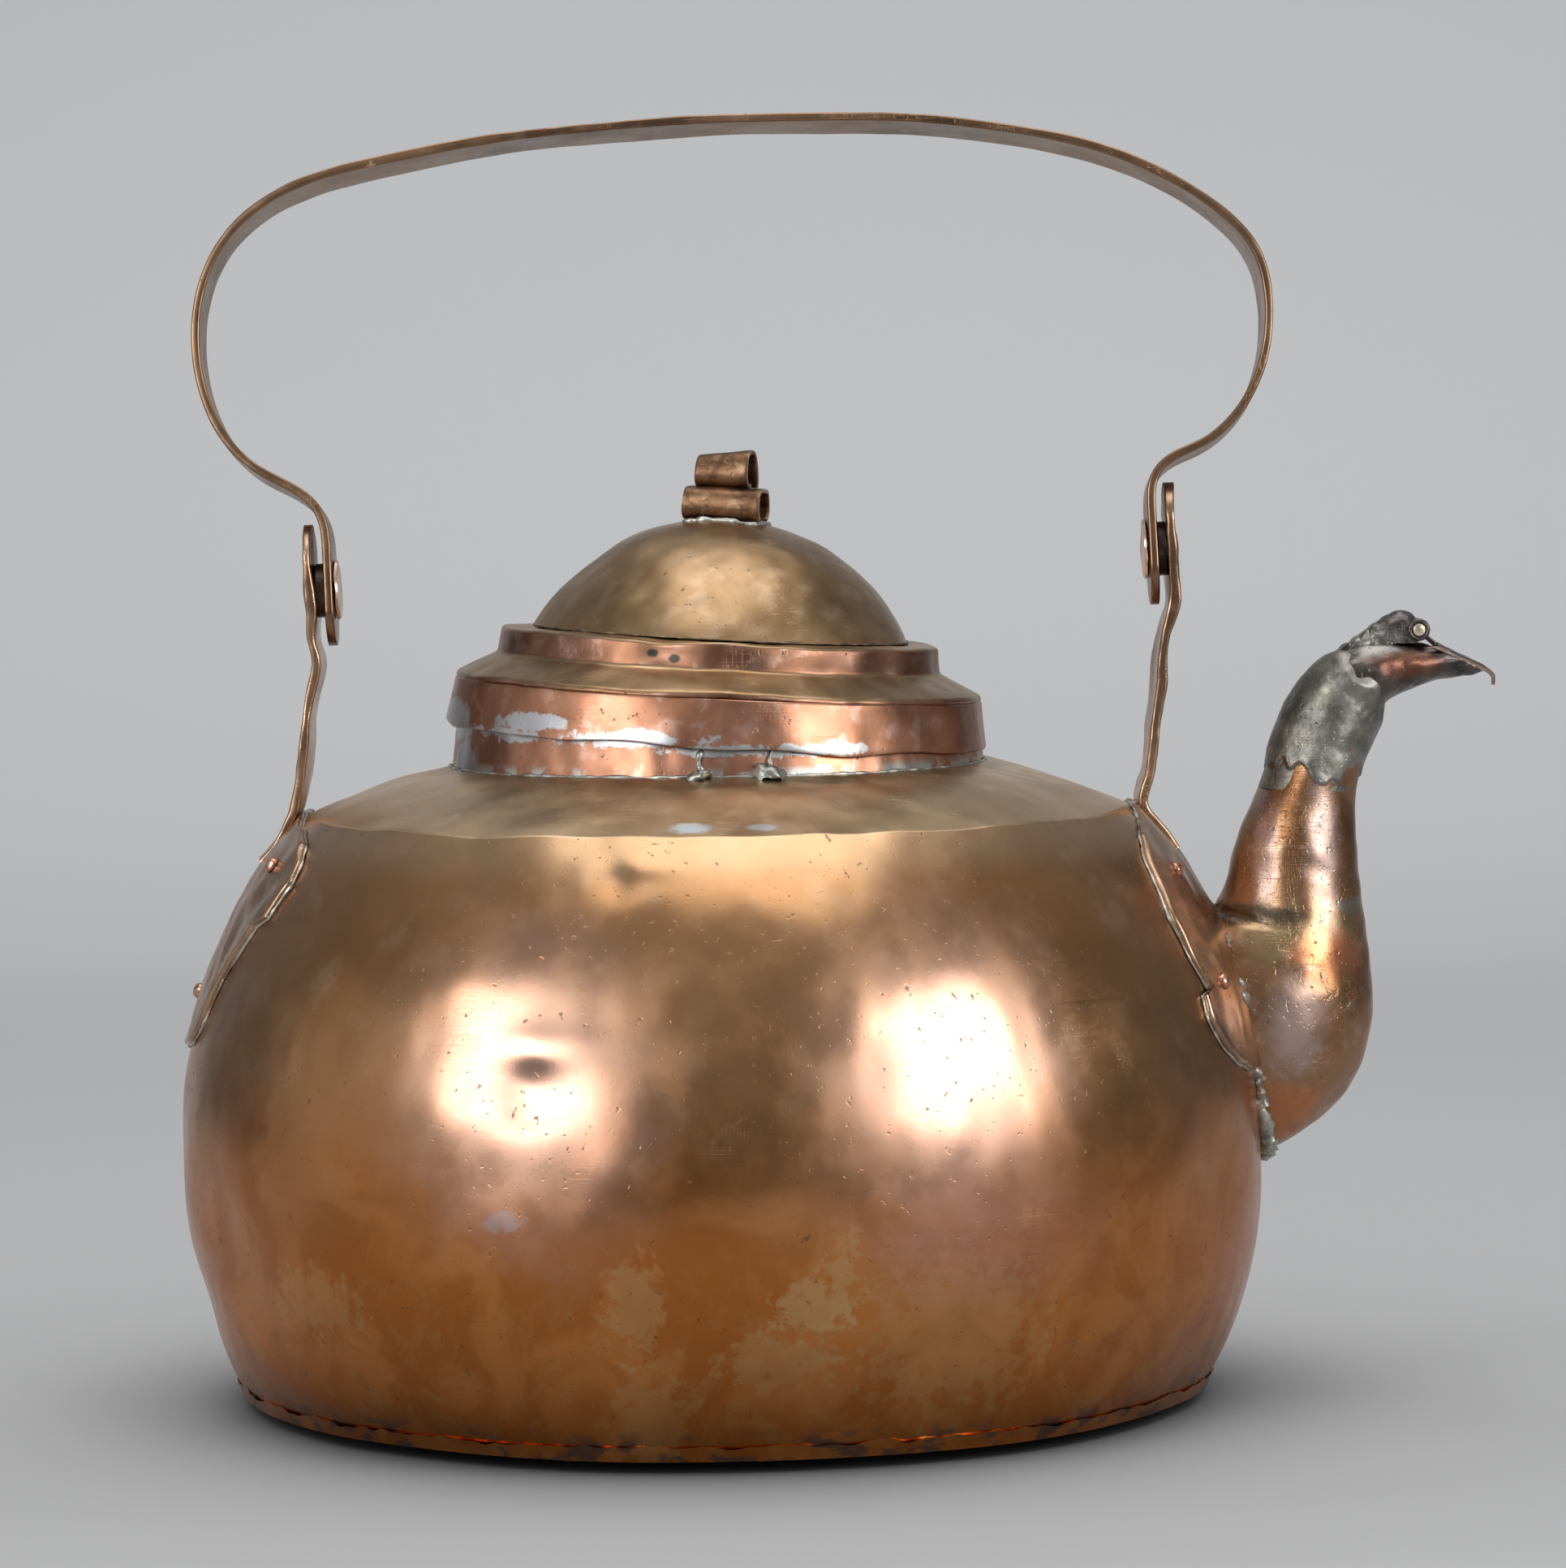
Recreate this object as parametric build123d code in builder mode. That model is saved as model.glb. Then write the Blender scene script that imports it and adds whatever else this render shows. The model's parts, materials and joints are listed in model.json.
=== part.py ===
"""A large old copper kettle: swinging bail, lift-off lid, bird-head spout with a hinged beak.

Millimetres, +Z up. The origin is the centre of the base on the surface it stands on, +X points to
the spout. Heights of the wall are measured from the lower edge of the wall.
"""

import os
from math import cos, hypot, radians, sin, sqrt

from build123d import *

# --- Sheet and strip ---------------------------------------------------------------------------
sheet = 1.2                 # raised copper of the body, the spout and the lid
plate = 1.8                 # strap plates on the wall
strap_strip = 2.5           # uprights of the straps
bail_strip = 2.4            # carrying handle

# --- Clearances --------------------------------------------------------------------------------
solder_film = 0.1           # between two sheets that are soldered flat on each other
rivet_fit = 0.05            # radial, round a rivet or pin that stays fixed
pivot_fit = 0.08            # radial, round a rivet or pin that something turns on
side_play = 0.3             # along an axle, and between two bodies that rest on each other

# --- Body --------------------------------------------------------------------------------------
edge_height = 4.5           # the lower edge hangs over the surface by this much
rest_radius = 96.0          # flat middle of the bottom
base_radius = 134.8         # outside of the lower edge, where the bottom folds up round the wall
seam_height = 2.6
belly_radius = 150.8
belly_height = 61.0
crease_radius = 114.3
crease_height = 158.5
shoulder_center = 60.0      # centre of the ellipse that the wall follows above the belly
shoulder_rise = 13.4
shoulder_crown = 0.9
neck_radius = 74.0
neck_top_radius = 70.9      # at the height of the lid's corner
neck_tuck = 3.0             # length of the neck below the shoulder

# --- Lid ---------------------------------------------------------------------------------------
lid_x = 0.5
lid_height = 197.0          # corner of skirt and cover, over the resting surface
lid_tilt = 3.6              # it sits higher on the side away from the spout
lid_slack = 1.1             # radial, between the skirt and the top of the neck
skirt_top_radius = neck_top_radius + lid_slack + sheet
skirt_radius = skirt_top_radius + 2.2
skirt_depth = 12.9
step_radius = 61.2
cover_rise = 7.2
step_rise = 7.2
dome_radius = 52.0
dome_rise = 32.0
knob_turn = -15.0
roll_length = 21.5
roll_depth = 15.0
roll_height = 8.8
curl_length = 16.0
curl_depth = 12.0
curl_height = 9.6
knob_sheet = 1.3

# --- Bail, straps and their pivots -------------------------------------------------------------
pivot_x = 7.3               # middle of the pivot line
pivot_height = 229.8
pivot_tilt = 2.1            # the pivot line climbs towards the spout
strap_half_span = 119.5     # middle plane of an upright's upper end
bail_half_span = 114.3      # middle plane of a bail end
bail_lean = 7.5             # leans away from the front at rest
bail_width = 21.0
bail_tail = 15.5            # bail below the pivot
strap_width = 25.0
strap_head = 18.5           # upright above the pivot
pivot_radius = 3.2
pivot_head_radius = 8.4
pivot_head = 1.4
peened_radius = 5.0
peened_head = 1.0
washer_radius = 7.5
rivet_radius = 1.2
rivet_head_radius = 2.3
rivet_head = 1.7
rivet_tail = 0.7            # flat head inside

# --- Spout -------------------------------------------------------------------------------------
bead_width = 2.6            # solder round the foot of the spout
bead_height = 3.2
sleeve_coat = 0.7           # tin that covers the joint of neck and head
sleeve_low = 170.5
neck_cut = 181.0            # height at which the tube ends inside the tin
pin_x = 195.0
pin_z = 210.7
pin_radius = 1.9
pin_length = 14.6
knuckle_radius = 3.0
knuckle_half_width = 2.7    # the flap's knuckle, between the two of the crest
crest_half_width = 6.6
flap_sheet = 1.1

# Across the spout: inner side, outer side (x, z), and half width along Y. Up to the eyes a half
# width stays below half of the distance across, so that the sections join without a twist.
foot_stations = [
    ((132, 131), (138, 62), 26.0),
    ((133.5, 132), (155, 67.5), 27.5),
    ((134.8, 133), (170.8, 77.6), 27.5),
    ((136, 134), (179.2, 91.6), 26.0),
    ((137, 135), (182.2, 107.5), 24.0),
    ((138.3, 136), (181.0, 123), 21.5),
]
neck_stations = [
    ((140.8, 139.5), (178.6, 136.5), 18.9),
    ((144.3, 151.4), (177.7, 150), 16.6),
    ((148.3, 162.5), (177.8, 161.5), 14.7),
    ((152.6, 174), (179.4, 172.8), 13.3),
]
head_stations = [
    ((157.0, 187), (184.2, 184.5), 12.8),
    ((163.4, 197.6), (186.0, 190.2), 11.8),
    ((172.6, 205), (190.5, 192.8), 10.8),
    ((184.0, 208.2), (195.0, 194.6), 10.0),
    ((195.2, 207.0), (200.6, 196.3), 7.8),
    ((204.5, 206.5), (206.0, 197.1), 5.0),
    ((211.5, 203.5), (210.5, 197.6), 2.9),
]


# --- The wall's outline ------------------------------------------------------------------------
def wall_radius(height):
    """Outer radius of the wall: a circle below the belly, an ellipse above it."""
    if height < belly_height:
        inset = belly_radius - base_radius + sheet
        arc = (inset**2 + belly_height**2) / (2 * inset)
        return belly_radius - arc + sqrt(arc**2 - (belly_height - height) ** 2)
    reach = belly_radius - shoulder_center
    end = (crease_radius - shoulder_center) / reach
    tall = (crease_height - belly_height) / sqrt(1 - end**2)
    return shoulder_center + reach * sqrt(1 - ((height - belly_height) / tall) ** 2)


def wall_normal(height):
    """Direction out of the wall (radial, up) at a height."""
    small = 0.05
    slope = (wall_radius(height + small) - wall_radius(height - small)) / (2 * small)
    length = hypot(1, slope)
    return 1 / length, -slope / length


def wall_point(height, out):
    """Point (radius, z) at a distance out of the wall's outer face."""
    across, up = wall_normal(height)
    return wall_radius(height) + out * across, edge_height + height + out * up


def wall_band(inside, outside, low, high):
    """Section between two offsets of the wall's outer face."""
    steps = 14
    heights = [low + (high - low) * step / steps for step in range(steps + 1)]
    with BuildSketch(Plane.XZ) as section:
        with BuildLine():
            outer = Spline([wall_point(height, outside) for height in heights])
            inner = Spline([wall_point(height, inside) for height in heights])
            Line(outer @ 0, inner @ 0)
            Line(outer @ 1, inner @ 1)
        make_face()
    return section.sketch


def wall_plane(height, side_y, toward_x):
    """Plane on the wall's outer face with its normal pointing out, at a given Y."""
    radius = wall_radius(height)
    across, up = wall_normal(height)
    x = sqrt(radius**2 - side_y**2) * toward_x
    origin = (x, side_y, edge_height + height)
    return Plane(origin=origin, z_dir=(across * x / radius, across * side_y / radius, up))


def rivet_seats(toward, places):
    """Planes on the wall at the rivets of one strap."""
    return [wall_plane(height, y, toward) for height, y in places]


# Rivets: height over the wall's lower edge, place along Y
left_rivet_places = [(146.0, -34.0), (146.0, 34.0), (109.0, 0.0)]
right_rivet_places = [(141.5, -34.0), (141.5, 34.0), (112.3, -46.2), (112.3, 46.2)]


# --- The spout's form --------------------------------------------------------------------------
def station(inner, outer, half_width, grow):
    """Ellipse across the spout between two side points, grown by an offset."""
    dx, dz = outer[0] - inner[0], outer[1] - inner[1]
    middle = ((inner[0] + outer[0]) / 2, 0, (inner[1] + outer[1]) / 2)
    with BuildSketch(Plane(origin=middle, x_dir=(dx, 0, dz), z_dir=(-dz, 0, dx))) as ring:
        Ellipse(hypot(dx, dz) / 2 + grow, half_width + grow)
    return ring.sketch


def spout_form(stations, grow):
    """Solid through the stations, grown by an offset."""
    with BuildPart() as form:
        loft([station(*where, grow) for where in stations])
    return form.part


spout_stations = foot_stations + neck_stations + head_stations
spout_outside = spout_form(spout_stations, 0)
spout_inside = spout_form(spout_stations, -sheet)
bead_outside = spout_form(spout_stations, bead_width)
bead_clearance = spout_form(spout_stations, bead_width + solder_film)
sleeve_outside = spout_form(spout_stations, sleeve_coat)

# --- Body: wall, shoulder, neck and bottom -----------------------------------------------------
with BuildPart() as body_wall:
    revolve(wall_band(-sheet, 0, 0, crease_height), axis=Axis.Z)
    add(spout_inside, mode=Mode.SUBTRACT)
    with Locations(rivet_seats(-1, left_rivet_places), rivet_seats(1, right_rivet_places)):
        Cylinder(rivet_radius + rivet_fit, 6 * plate, mode=Mode.SUBTRACT)

shoulder_top = edge_height + crease_height + shoulder_rise
with BuildPart() as shoulder:
    with BuildSketch(Plane.XZ):
        with BuildLine():
            opening = neck_radius + rivet_fit
            corner = wall_point(crease_height, 0)
            under = wall_point(crease_height, -sheet)
            middle = (opening + crease_radius) / 2
            rise = (corner[1] + shoulder_top) / 2 + shoulder_crown
            ThreePointArc(corner, (middle, rise), (opening, shoulder_top))
            Line((opening, shoulder_top), (opening, shoulder_top - sheet))
            ThreePointArc((opening, shoulder_top - sheet), (middle, rise - sheet), under)
            Line(under, corner)
        make_face()
    revolve(axis=Axis.Z)

lid_plane = Plane(
    origin=(lid_x, 0, lid_height),
    x_dir=(cos(radians(lid_tilt)), 0, -sin(radians(lid_tilt))),
    z_dir=(sin(radians(lid_tilt)), 0, cos(radians(lid_tilt))),
)
neck_top = lid_height + 20     # cut back to the tilt of the lid below
with BuildPart() as neck_collar:
    with BuildSketch(Plane.XZ):
        with BuildLine():
            Polyline(
                (neck_radius, shoulder_top - sheet - neck_tuck),
                (neck_radius, shoulder_top),
                (neck_top_radius, lid_height),
                (neck_top_radius - 1, neck_top),
                (neck_top_radius - 1 - sheet, neck_top),
                (neck_top_radius - sheet, lid_height),
                (neck_radius - sheet, shoulder_top),
                (neck_radius - sheet, shoulder_top - sheet - neck_tuck),
                close=True,
            )
        make_face()
    revolve(axis=Axis.Z)
    split(bisect_by=lid_plane.offset(-sheet - side_play), keep=Keep.BOTTOM)

with BuildPart() as bottom_plate:
    with BuildSketch(Plane.XZ):
        with BuildLine():
            inner_corner = wall_point(0, rivet_fit)
            outer_corner = (base_radius - sheet / 2, edge_height - sheet)
            TangentArc((rest_radius, 0), outer_corner, tangent=(1, 0))
            Polyline(
                outer_corner,
                wall_point(sheet / 3, sheet),
                wall_point(seam_height, sheet),
                wall_point(seam_height, rivet_fit),
                inner_corner,
            )
            TangentArc((rest_radius, sheet), inner_corner, tangent=(1, 0))
            Polyline((rest_radius, sheet), (0, sheet), (0, 0), (rest_radius, 0))
        make_face()
    revolve(axis=Axis.Z)

# --- Straps ------------------------------------------------------------------------------------
pivot_plane = Plane(
    origin=(pivot_x, 0, pivot_height),
    x_dir=(cos(radians(pivot_tilt)), 0, sin(radians(pivot_tilt))),
    z_dir=(0, -1, 0),
)


def pivot_axis_plane(along, toward):
    """Plane across the pivot line, its normal pointing to the left (-1) or the right (1) end."""
    tilt = radians(pivot_tilt)
    origin = (pivot_x + along * cos(tilt), 0, pivot_height + along * sin(tilt))
    normal = (toward * cos(tilt), 0, toward * sin(tilt))
    return Plane(origin=origin, x_dir=(0, 1, 0), z_dir=normal)


# Half outlines of the plates: half width along Y, height over the wall's lower edge
left_upper_lobe = [(12.5, 158.3), (30, 156), (46, 151.5), (54.5, 143), (54, 134)]
left_lower_lobe = [(49, 131.5), (45.8, 124), (38.5, 113.5), (34.5, 103), (20, 96.5), (0, 94.5)]
right_upper_lobe = [(12.5, 158.3), (27, 154.6), (42, 148.5), (52.5, 138), (58.2, 124), (55, 111)]
right_lower_lobe = [(60.3, 110), (61, 104), (58, 97), (50, 91.5), (30, 87), (0, 86)]

# Middle line of the uprights below the pivot: distance from the axis, height over the surface
left_upright = [(117.9, 163.6), (115.4, 174), (113.9, 186), (112.1, 198.5), (110.9, 208)]
right_upright = [(117.9, 163.6), (119.6, 171), (121.4, 184), (123.1, 197), (124.4, 210)]


def plate_outline(upper_lobe, lower_lobe):
    """Shield in the YZ plane, mirrored about the middle."""
    with BuildSketch(Plane.YZ) as shield:
        with BuildLine():
            upper = Spline([(y, edge_height + z) for y, z in upper_lobe])
            lower = Spline([(y, edge_height + z) for y, z in lower_lobe])
            Line(upper @ 1, lower @ 0)
            Polyline(upper @ 0, (0, edge_height + upper_lobe[0][1]), lower @ 1)
        make_face()
        mirror(about=Plane.YZ)
    return shield.sketch


def upright_outline(toward, upright):
    """Side of the upright in the XZ plane, from its foot on the plate to its upper end."""
    foot = wall_point(crease_height - 8, solder_film + plate / 2 + 0.4)
    eye = pivot_axis_plane(toward * strap_half_span, toward).origin
    climb = Vector(-sin(radians(pivot_tilt)), cos(radians(pivot_tilt)))
    middle = Vector(eye.X, eye.Z)
    path = [Vector(toward * foot[0], foot[1])]
    path += [Vector(toward * x, z) for x, z in upright]
    path += [middle - climb * bail_tail, middle + climb * strap_head]
    with BuildSketch(Plane.XZ) as side:
        with BuildLine():
            line = Polyline(path)
        trace(line, strap_strip)
    return side.sketch


def make_strap(toward, upper_lobe, lower_lobe, upright, rivet_places):
    """One strap: plate formed to the wall, upright, pivot eye and rivet holes."""
    with BuildPart() as strap:
        lowest = lower_lobe[-1][1] - 2
        revolve(wall_band(solder_film, solder_film + plate, lowest, crease_height), axis=Axis.Z)
        extrude(
            plate_outline(upper_lobe, lower_lobe),
            amount=2 * belly_radius,
            dir=(toward, 0, 0),
            mode=Mode.INTERSECT,
        )
        extrude(upright_outline(toward, upright), amount=strap_width / 2, both=True)
        corners = strap.edges().filter_by(Axis.X, tolerance=15).group_by(Axis.Z)[-1]
        fillet(corners, strap_width / 2 - 1)
        with Locations(pivot_axis_plane(toward * strap_half_span, toward)):
            Cylinder(pivot_radius + rivet_fit, 4 * strap_strip, mode=Mode.SUBTRACT)
        with Locations(rivet_seats(toward, rivet_places)):
            Cylinder(rivet_radius + rivet_fit, 6 * plate, mode=Mode.SUBTRACT)
        if toward > 0:
            add(bead_clearance, mode=Mode.SUBTRACT)
    return strap


left_strap = make_strap(-1, left_upper_lobe, left_lower_lobe, left_upright, left_rivet_places)
right_strap = make_strap(
    1, right_upper_lobe, right_lower_lobe, right_upright, right_rivet_places
)

# One rivet stands on the XY plane as if the wall's outer face were there
with BuildPart() as rivet:
    with BuildSketch(Plane.XZ):
        with BuildLine():
            head_seat = solder_film + plate + 0.35
            tail_seat = -sheet - 0.35
            Polyline(
                (0, head_seat + rivet_head),
                (0, tail_seat - rivet_tail),
                (rivet_head_radius, tail_seat - rivet_tail),
                (rivet_head_radius, tail_seat),
                (rivet_radius, tail_seat),
                (rivet_radius, head_seat),
                (rivet_head_radius, head_seat),
            )
            dome_top = (0, head_seat + rivet_head)
            TangentArc(dome_top, (rivet_head_radius, head_seat), tangent=(1, 0))
        make_face()
    revolve(axis=Axis.Z)

with BuildPart() as left_strap_rivets:
    with Locations(rivet_seats(-1, left_rivet_places)):
        add(rivet.part)

with BuildPart() as right_strap_rivets:
    with Locations(rivet_seats(1, right_rivet_places)):
        add(rivet.part)

# --- Bail --------------------------------------------------------------------------------------
lean = radians(bail_lean)
bail_up = pivot_plane.y_dir * cos(lean) - pivot_plane.z_dir * sin(lean)
bail_across = pivot_plane.x_dir
bail_plane = Plane(
    origin=pivot_plane.origin, x_dir=bail_across, z_dir=bail_across.cross(bail_up)
)
bail_neck = 12.0            # the ends are straight up to here
bail_arch = [
    (-bail_half_span, bail_neck),
    (-bail_half_span - 0.5, 17),
    (-bail_half_span - 2.6, 22.3),
    (-121.8, 27),
    (-131.5, 33),
    (-140, 41.5),
    (-145.6, 53.5),
    (-148, 69),
    (-145.6, 86),
    (-137.5, 100),
    (-121, 111.4),
    (-95, 118),
    (-60, 123),
    (-15, 125),
    (38.4, 123.7),
    (80, 118.5),
    (112, 108.8),
    (135, 95),
    (147, 80.5),
    (149.6, 64),
    (146, 46.5),
    (138, 34.2),
    (129, 27.8),
    (121.3, 24.6),
    (bail_half_span + 2.2, 20.6),
    (bail_half_span + 0.4, 16.2),
    (bail_half_span, bail_neck),
]

with BuildPart() as bail_handle:
    with BuildSketch(bail_plane):
        with BuildLine(mode=Mode.PRIVATE):
            middle_line = Spline(bail_arch)
        with BuildLine():
            shares = [step / 60 for step in range(61)]
            sides = []
            for out in (bail_strip / 2, -bail_strip / 2):
                points = [
                    (middle_line @ share) + (middle_line % share).rotate(Axis.Z, 90) * out
                    for share in shares
                ]
                sides.append(Spline(points))
            Line(sides[0] @ 0, sides[1] @ 0)
            Line(sides[0] @ 1, sides[1] @ 1)
        make_face()
    extrude(amount=bail_width / 2, both=True)
    for toward in (-1, 1):
        end = bail_plane.from_local_coords((toward * (bail_half_span - bail_strip / 2), 0))
        with BuildSketch(Plane(origin=end, x_dir=-bail_plane.z_dir, z_dir=bail_across)):
            round_end = bail_width / 2
            with Locations((0, (bail_neck - bail_tail + round_end) / 2)):
                Rectangle(bail_width, bail_neck + bail_tail - round_end)
            with Locations((0, round_end - bail_tail)):
                Circle(round_end)
            Circle(pivot_radius + pivot_fit, mode=Mode.SUBTRACT)
        extrude(amount=toward * bail_strip)

# --- Pivot rivets and washers ------------------------------------------------------------------
washer_room = strap_half_span - strap_strip / 2 - bail_half_span - bail_strip / 2


# One pivot rivet stands on the XY plane as if the middle plane of an upright were there
with BuildPart() as pivot_rivet:
    with BuildSketch(Plane.XZ):
        with BuildLine():
            inner = bail_half_span - strap_half_span - bail_strip / 2 - side_play
            outer = strap_strip / 2 + solder_film
            Polyline(
                (0, outer + peened_head),
                (0, inner - pivot_head),
                (0.6 * pivot_head_radius, inner - 0.85 * pivot_head),
                (pivot_head_radius, inner - 0.4 * pivot_head),
                (pivot_head_radius, inner),
                (pivot_radius, inner),
                (pivot_radius, outer),
                (peened_radius, outer),
            )
            TangentArc((0, outer + peened_head), (peened_radius, outer), tangent=(1, 0))
        make_face()
    revolve(axis=Axis.Z)

with BuildPart() as left_pivot_rivet:
    with Locations(pivot_axis_plane(-strap_half_span, -1)):
        add(pivot_rivet.part)

with BuildPart() as right_pivot_rivet:
    with Locations(pivot_axis_plane(strap_half_span, 1)):
        add(pivot_rivet.part)


def make_washer(toward):
    """Spacer between the strap and the bail end."""
    middle = bail_half_span + bail_strip / 2 + washer_room / 2
    with BuildPart() as washer:
        with BuildSketch(pivot_axis_plane(toward * middle, toward)):
            Circle(washer_radius)
            Circle(pivot_radius + rivet_fit, mode=Mode.SUBTRACT)
        extrude(amount=(washer_room - side_play) / 2, both=True)
    return washer


left_washer = make_washer(-1)
right_washer = make_washer(1)

# --- Spout -------------------------------------------------------------------------------------
with BuildPart() as body_block:
    with BuildSketch(Plane.XZ):
        with BuildLine():
            heights = [crease_height * step / 8 for step in range(9)]
            skin = Spline([wall_point(height, solder_film) for height in heights])
            Polyline(skin @ 1, (0, (skin @ 1).Y), (0, (skin @ 0).Y), skin @ 0)
        make_face()
    revolve(axis=Axis.Z)

with BuildPart() as spout_skin:
    add(spout_outside)
    add(spout_inside, mode=Mode.SUBTRACT)
    add(body_block.part, mode=Mode.SUBTRACT)

cut_plane = Plane.XY.offset(neck_cut)
with BuildPart() as spout_tube:
    add(spout_skin.part)
    split(bisect_by=cut_plane, keep=Keep.BOTTOM)

# Middle line of the beak flap in the XZ plane, from its hinge to its hooked tip
flap_line = [(197.0, 209.2), (199.4, 206.6), (204.4, 204.3), (211.4, 200.9), (214.6, 199.0)]
flap_hook = [(214.6, 199.0), (216.3, 197.2), (216.1, 194.8)]

with BuildPart() as spout_head:
    add(spout_skin.part)
    split(bisect_by=cut_plane.offset(solder_film), keep=Keep.TOP)
    with BuildSketch(Plane.XZ):
        with BuildLine():
            drop = flap_sheet / 2 + side_play
            mouth = [(x, z - drop) for x, z in flap_line[1:]]
            Polyline([(196.6, 220), (196.6, mouth[0][1])] + mouth + [(230, 196), (230, 220)], close=True)
        make_face()
    extrude(amount=2 * crest_half_width, both=True, mode=Mode.SUBTRACT)

with BuildPart() as spout_tin_sleeve:
    add(sleeve_outside)
    split(bisect_by=Plane.XY.offset(sleeve_low), keep=Keep.TOP)
    cheek = Plane(origin=(180, 0, 198.5), z_dir=(0.72, 0, 0.69))
    split(bisect_by=cheek, keep=Keep.BOTTOM)
    add(spout_outside, mode=Mode.SUBTRACT)

with BuildPart() as spout_base_solder:
    lip = wall_band(solder_film, bead_height, 52, 140)
    revolve(lip, axis=Axis.Z)
    add(bead_outside, mode=Mode.INTERSECT)
    add(spout_outside, mode=Mode.SUBTRACT)

with BuildPart() as crest_ridge:
    with BuildSketch(Plane.XZ):
        with BuildLine():
            Spline([(172.0, 204.6), (180.5, 210.6), (186.5, 215.0), (190.5, 216.3), (194.2, 214.6)])
            Polyline((194.2, 214.6), (195.5, 212), (194.5, 206.6), (176, 203), (172.0, 204.6))
        make_face()
        with Locations((pin_x, pin_z)):
            Circle(knuckle_radius)
            Circle(pin_radius + rivet_fit, mode=Mode.SUBTRACT)
    extrude(amount=crest_half_width, both=True)
    with BuildSketch(Plane.XZ):
        with Locations((pin_x, pin_z)):
            Circle(knuckle_radius + side_play)
            with Locations((5, -1)):
                Rectangle(10, 2 * knuckle_radius + 4)
    extrude(amount=knuckle_half_width + side_play, both=True, mode=Mode.SUBTRACT)
    add(spout_outside, mode=Mode.SUBTRACT)
    add(spout_tin_sleeve.part, mode=Mode.SUBTRACT)

with BuildPart() as hinge_pin:
    with BuildSketch(Plane.XZ):
        with Locations((pin_x, pin_z)):
            Circle(pin_radius)
    extrude(amount=pin_length / 2, both=True)

with BuildPart() as beak_flap:
    with BuildSketch(Plane.XZ):
        with BuildLine():
            upper = Polyline(flap_line[1:] + flap_hook[1:])
        trace(upper, flap_sheet)
    extrude(amount=crest_half_width, both=True)
    with BuildSketch(Plane.XY.offset(pin_z)):
        with BuildLine():
            Polyline((199, 0), (199, 6.4), (205, 5.0), (212.5, 2.3), (218, 1.4), (218, 0), close=True)
        make_face()
        mirror(about=Plane.XZ)
    extrude(amount=20, both=True, mode=Mode.INTERSECT)
    with BuildSketch(Plane.XZ):
        with Locations((pin_x, pin_z)):
            Circle(knuckle_radius)
        with BuildLine():
            tongue = Polyline(flap_line[:3])
        trace(tongue, flap_sheet)
    extrude(amount=knuckle_half_width, both=True)
    with Locations(Plane(origin=(pin_x, 0, pin_z), z_dir=(0, 1, 0))):
        Cylinder(pin_radius + pivot_fit, 4 * crest_half_width, mode=Mode.SUBTRACT)

# --- Lid ---------------------------------------------------------------------------------------
lid_section = Plane(origin=lid_plane.origin, x_dir=lid_plane.x_dir, z_dir=-lid_plane.y_dir)
lid_axis = Axis(lid_plane.origin, lid_plane.z_dir)
step_top = cover_rise + step_rise
lap = 3.0                   # what each ring of the lid tucks under the next

with BuildPart() as lid_skirt:
    with BuildSketch(lid_section):
        with BuildLine():
            Polyline(
                (skirt_radius, -skirt_depth),
                (skirt_top_radius, 0),
                (skirt_top_radius - sheet, 0),
                (skirt_radius - sheet, -skirt_depth),
                close=True,
            )
        make_face()
    revolve(axis=lid_axis)

with BuildPart() as lid_cover:
    with BuildSketch(lid_section):
        with BuildLine():
            Polyline(
                (skirt_top_radius - sheet - solder_film, -sheet),
                (skirt_top_radius - sheet - solder_film, 0),
                (skirt_top_radius, solder_film),
                (skirt_top_radius, sheet),
                (step_radius, cover_rise),
                (step_radius - 0.8, step_top),
                (dome_radius - lap, step_top + 0.5),
                (dome_radius - lap, step_top + 0.5 - sheet),
                (step_radius - 0.8 - sheet, step_top - sheet),
                (step_radius - sheet, cover_rise - sheet),
                close=True,
            )
        make_face()
    revolve(axis=lid_axis)

dome_base = step_top + 0.5 + solder_film
dome_ball = (dome_radius**2 + dome_rise**2) / (2 * dome_rise)
with BuildPart() as lid_dome:
    with BuildSketch(lid_section):
        with BuildLine():
            share = 0.55
            inner_ball = dome_ball - sheet
            centre = dome_base + dome_rise - dome_ball
            side = sqrt(dome_ball**2 - (dome_base - centre) ** 2)
            side_in = sqrt(inner_ball**2 - (dome_base - centre) ** 2)
            outside = ThreePointArc(
                (side, dome_base),
                (dome_ball * share, centre + dome_ball * sqrt(1 - share**2)),
                (0, dome_base + dome_rise),
            )
            inside = ThreePointArc(
                (side_in, dome_base),
                (inner_ball * share, centre + inner_ball * sqrt(1 - share**2)),
                (0, dome_base + dome_rise - sheet),
            )
            Line(outside @ 0, inside @ 0)
            Line(outside @ 1, inside @ 1)
        make_face()
    revolve(axis=lid_axis)

with BuildPart() as lid_dome_ball:
    with Locations(lid_plane.offset(centre)):
        Sphere(dome_ball + rivet_fit)

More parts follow.
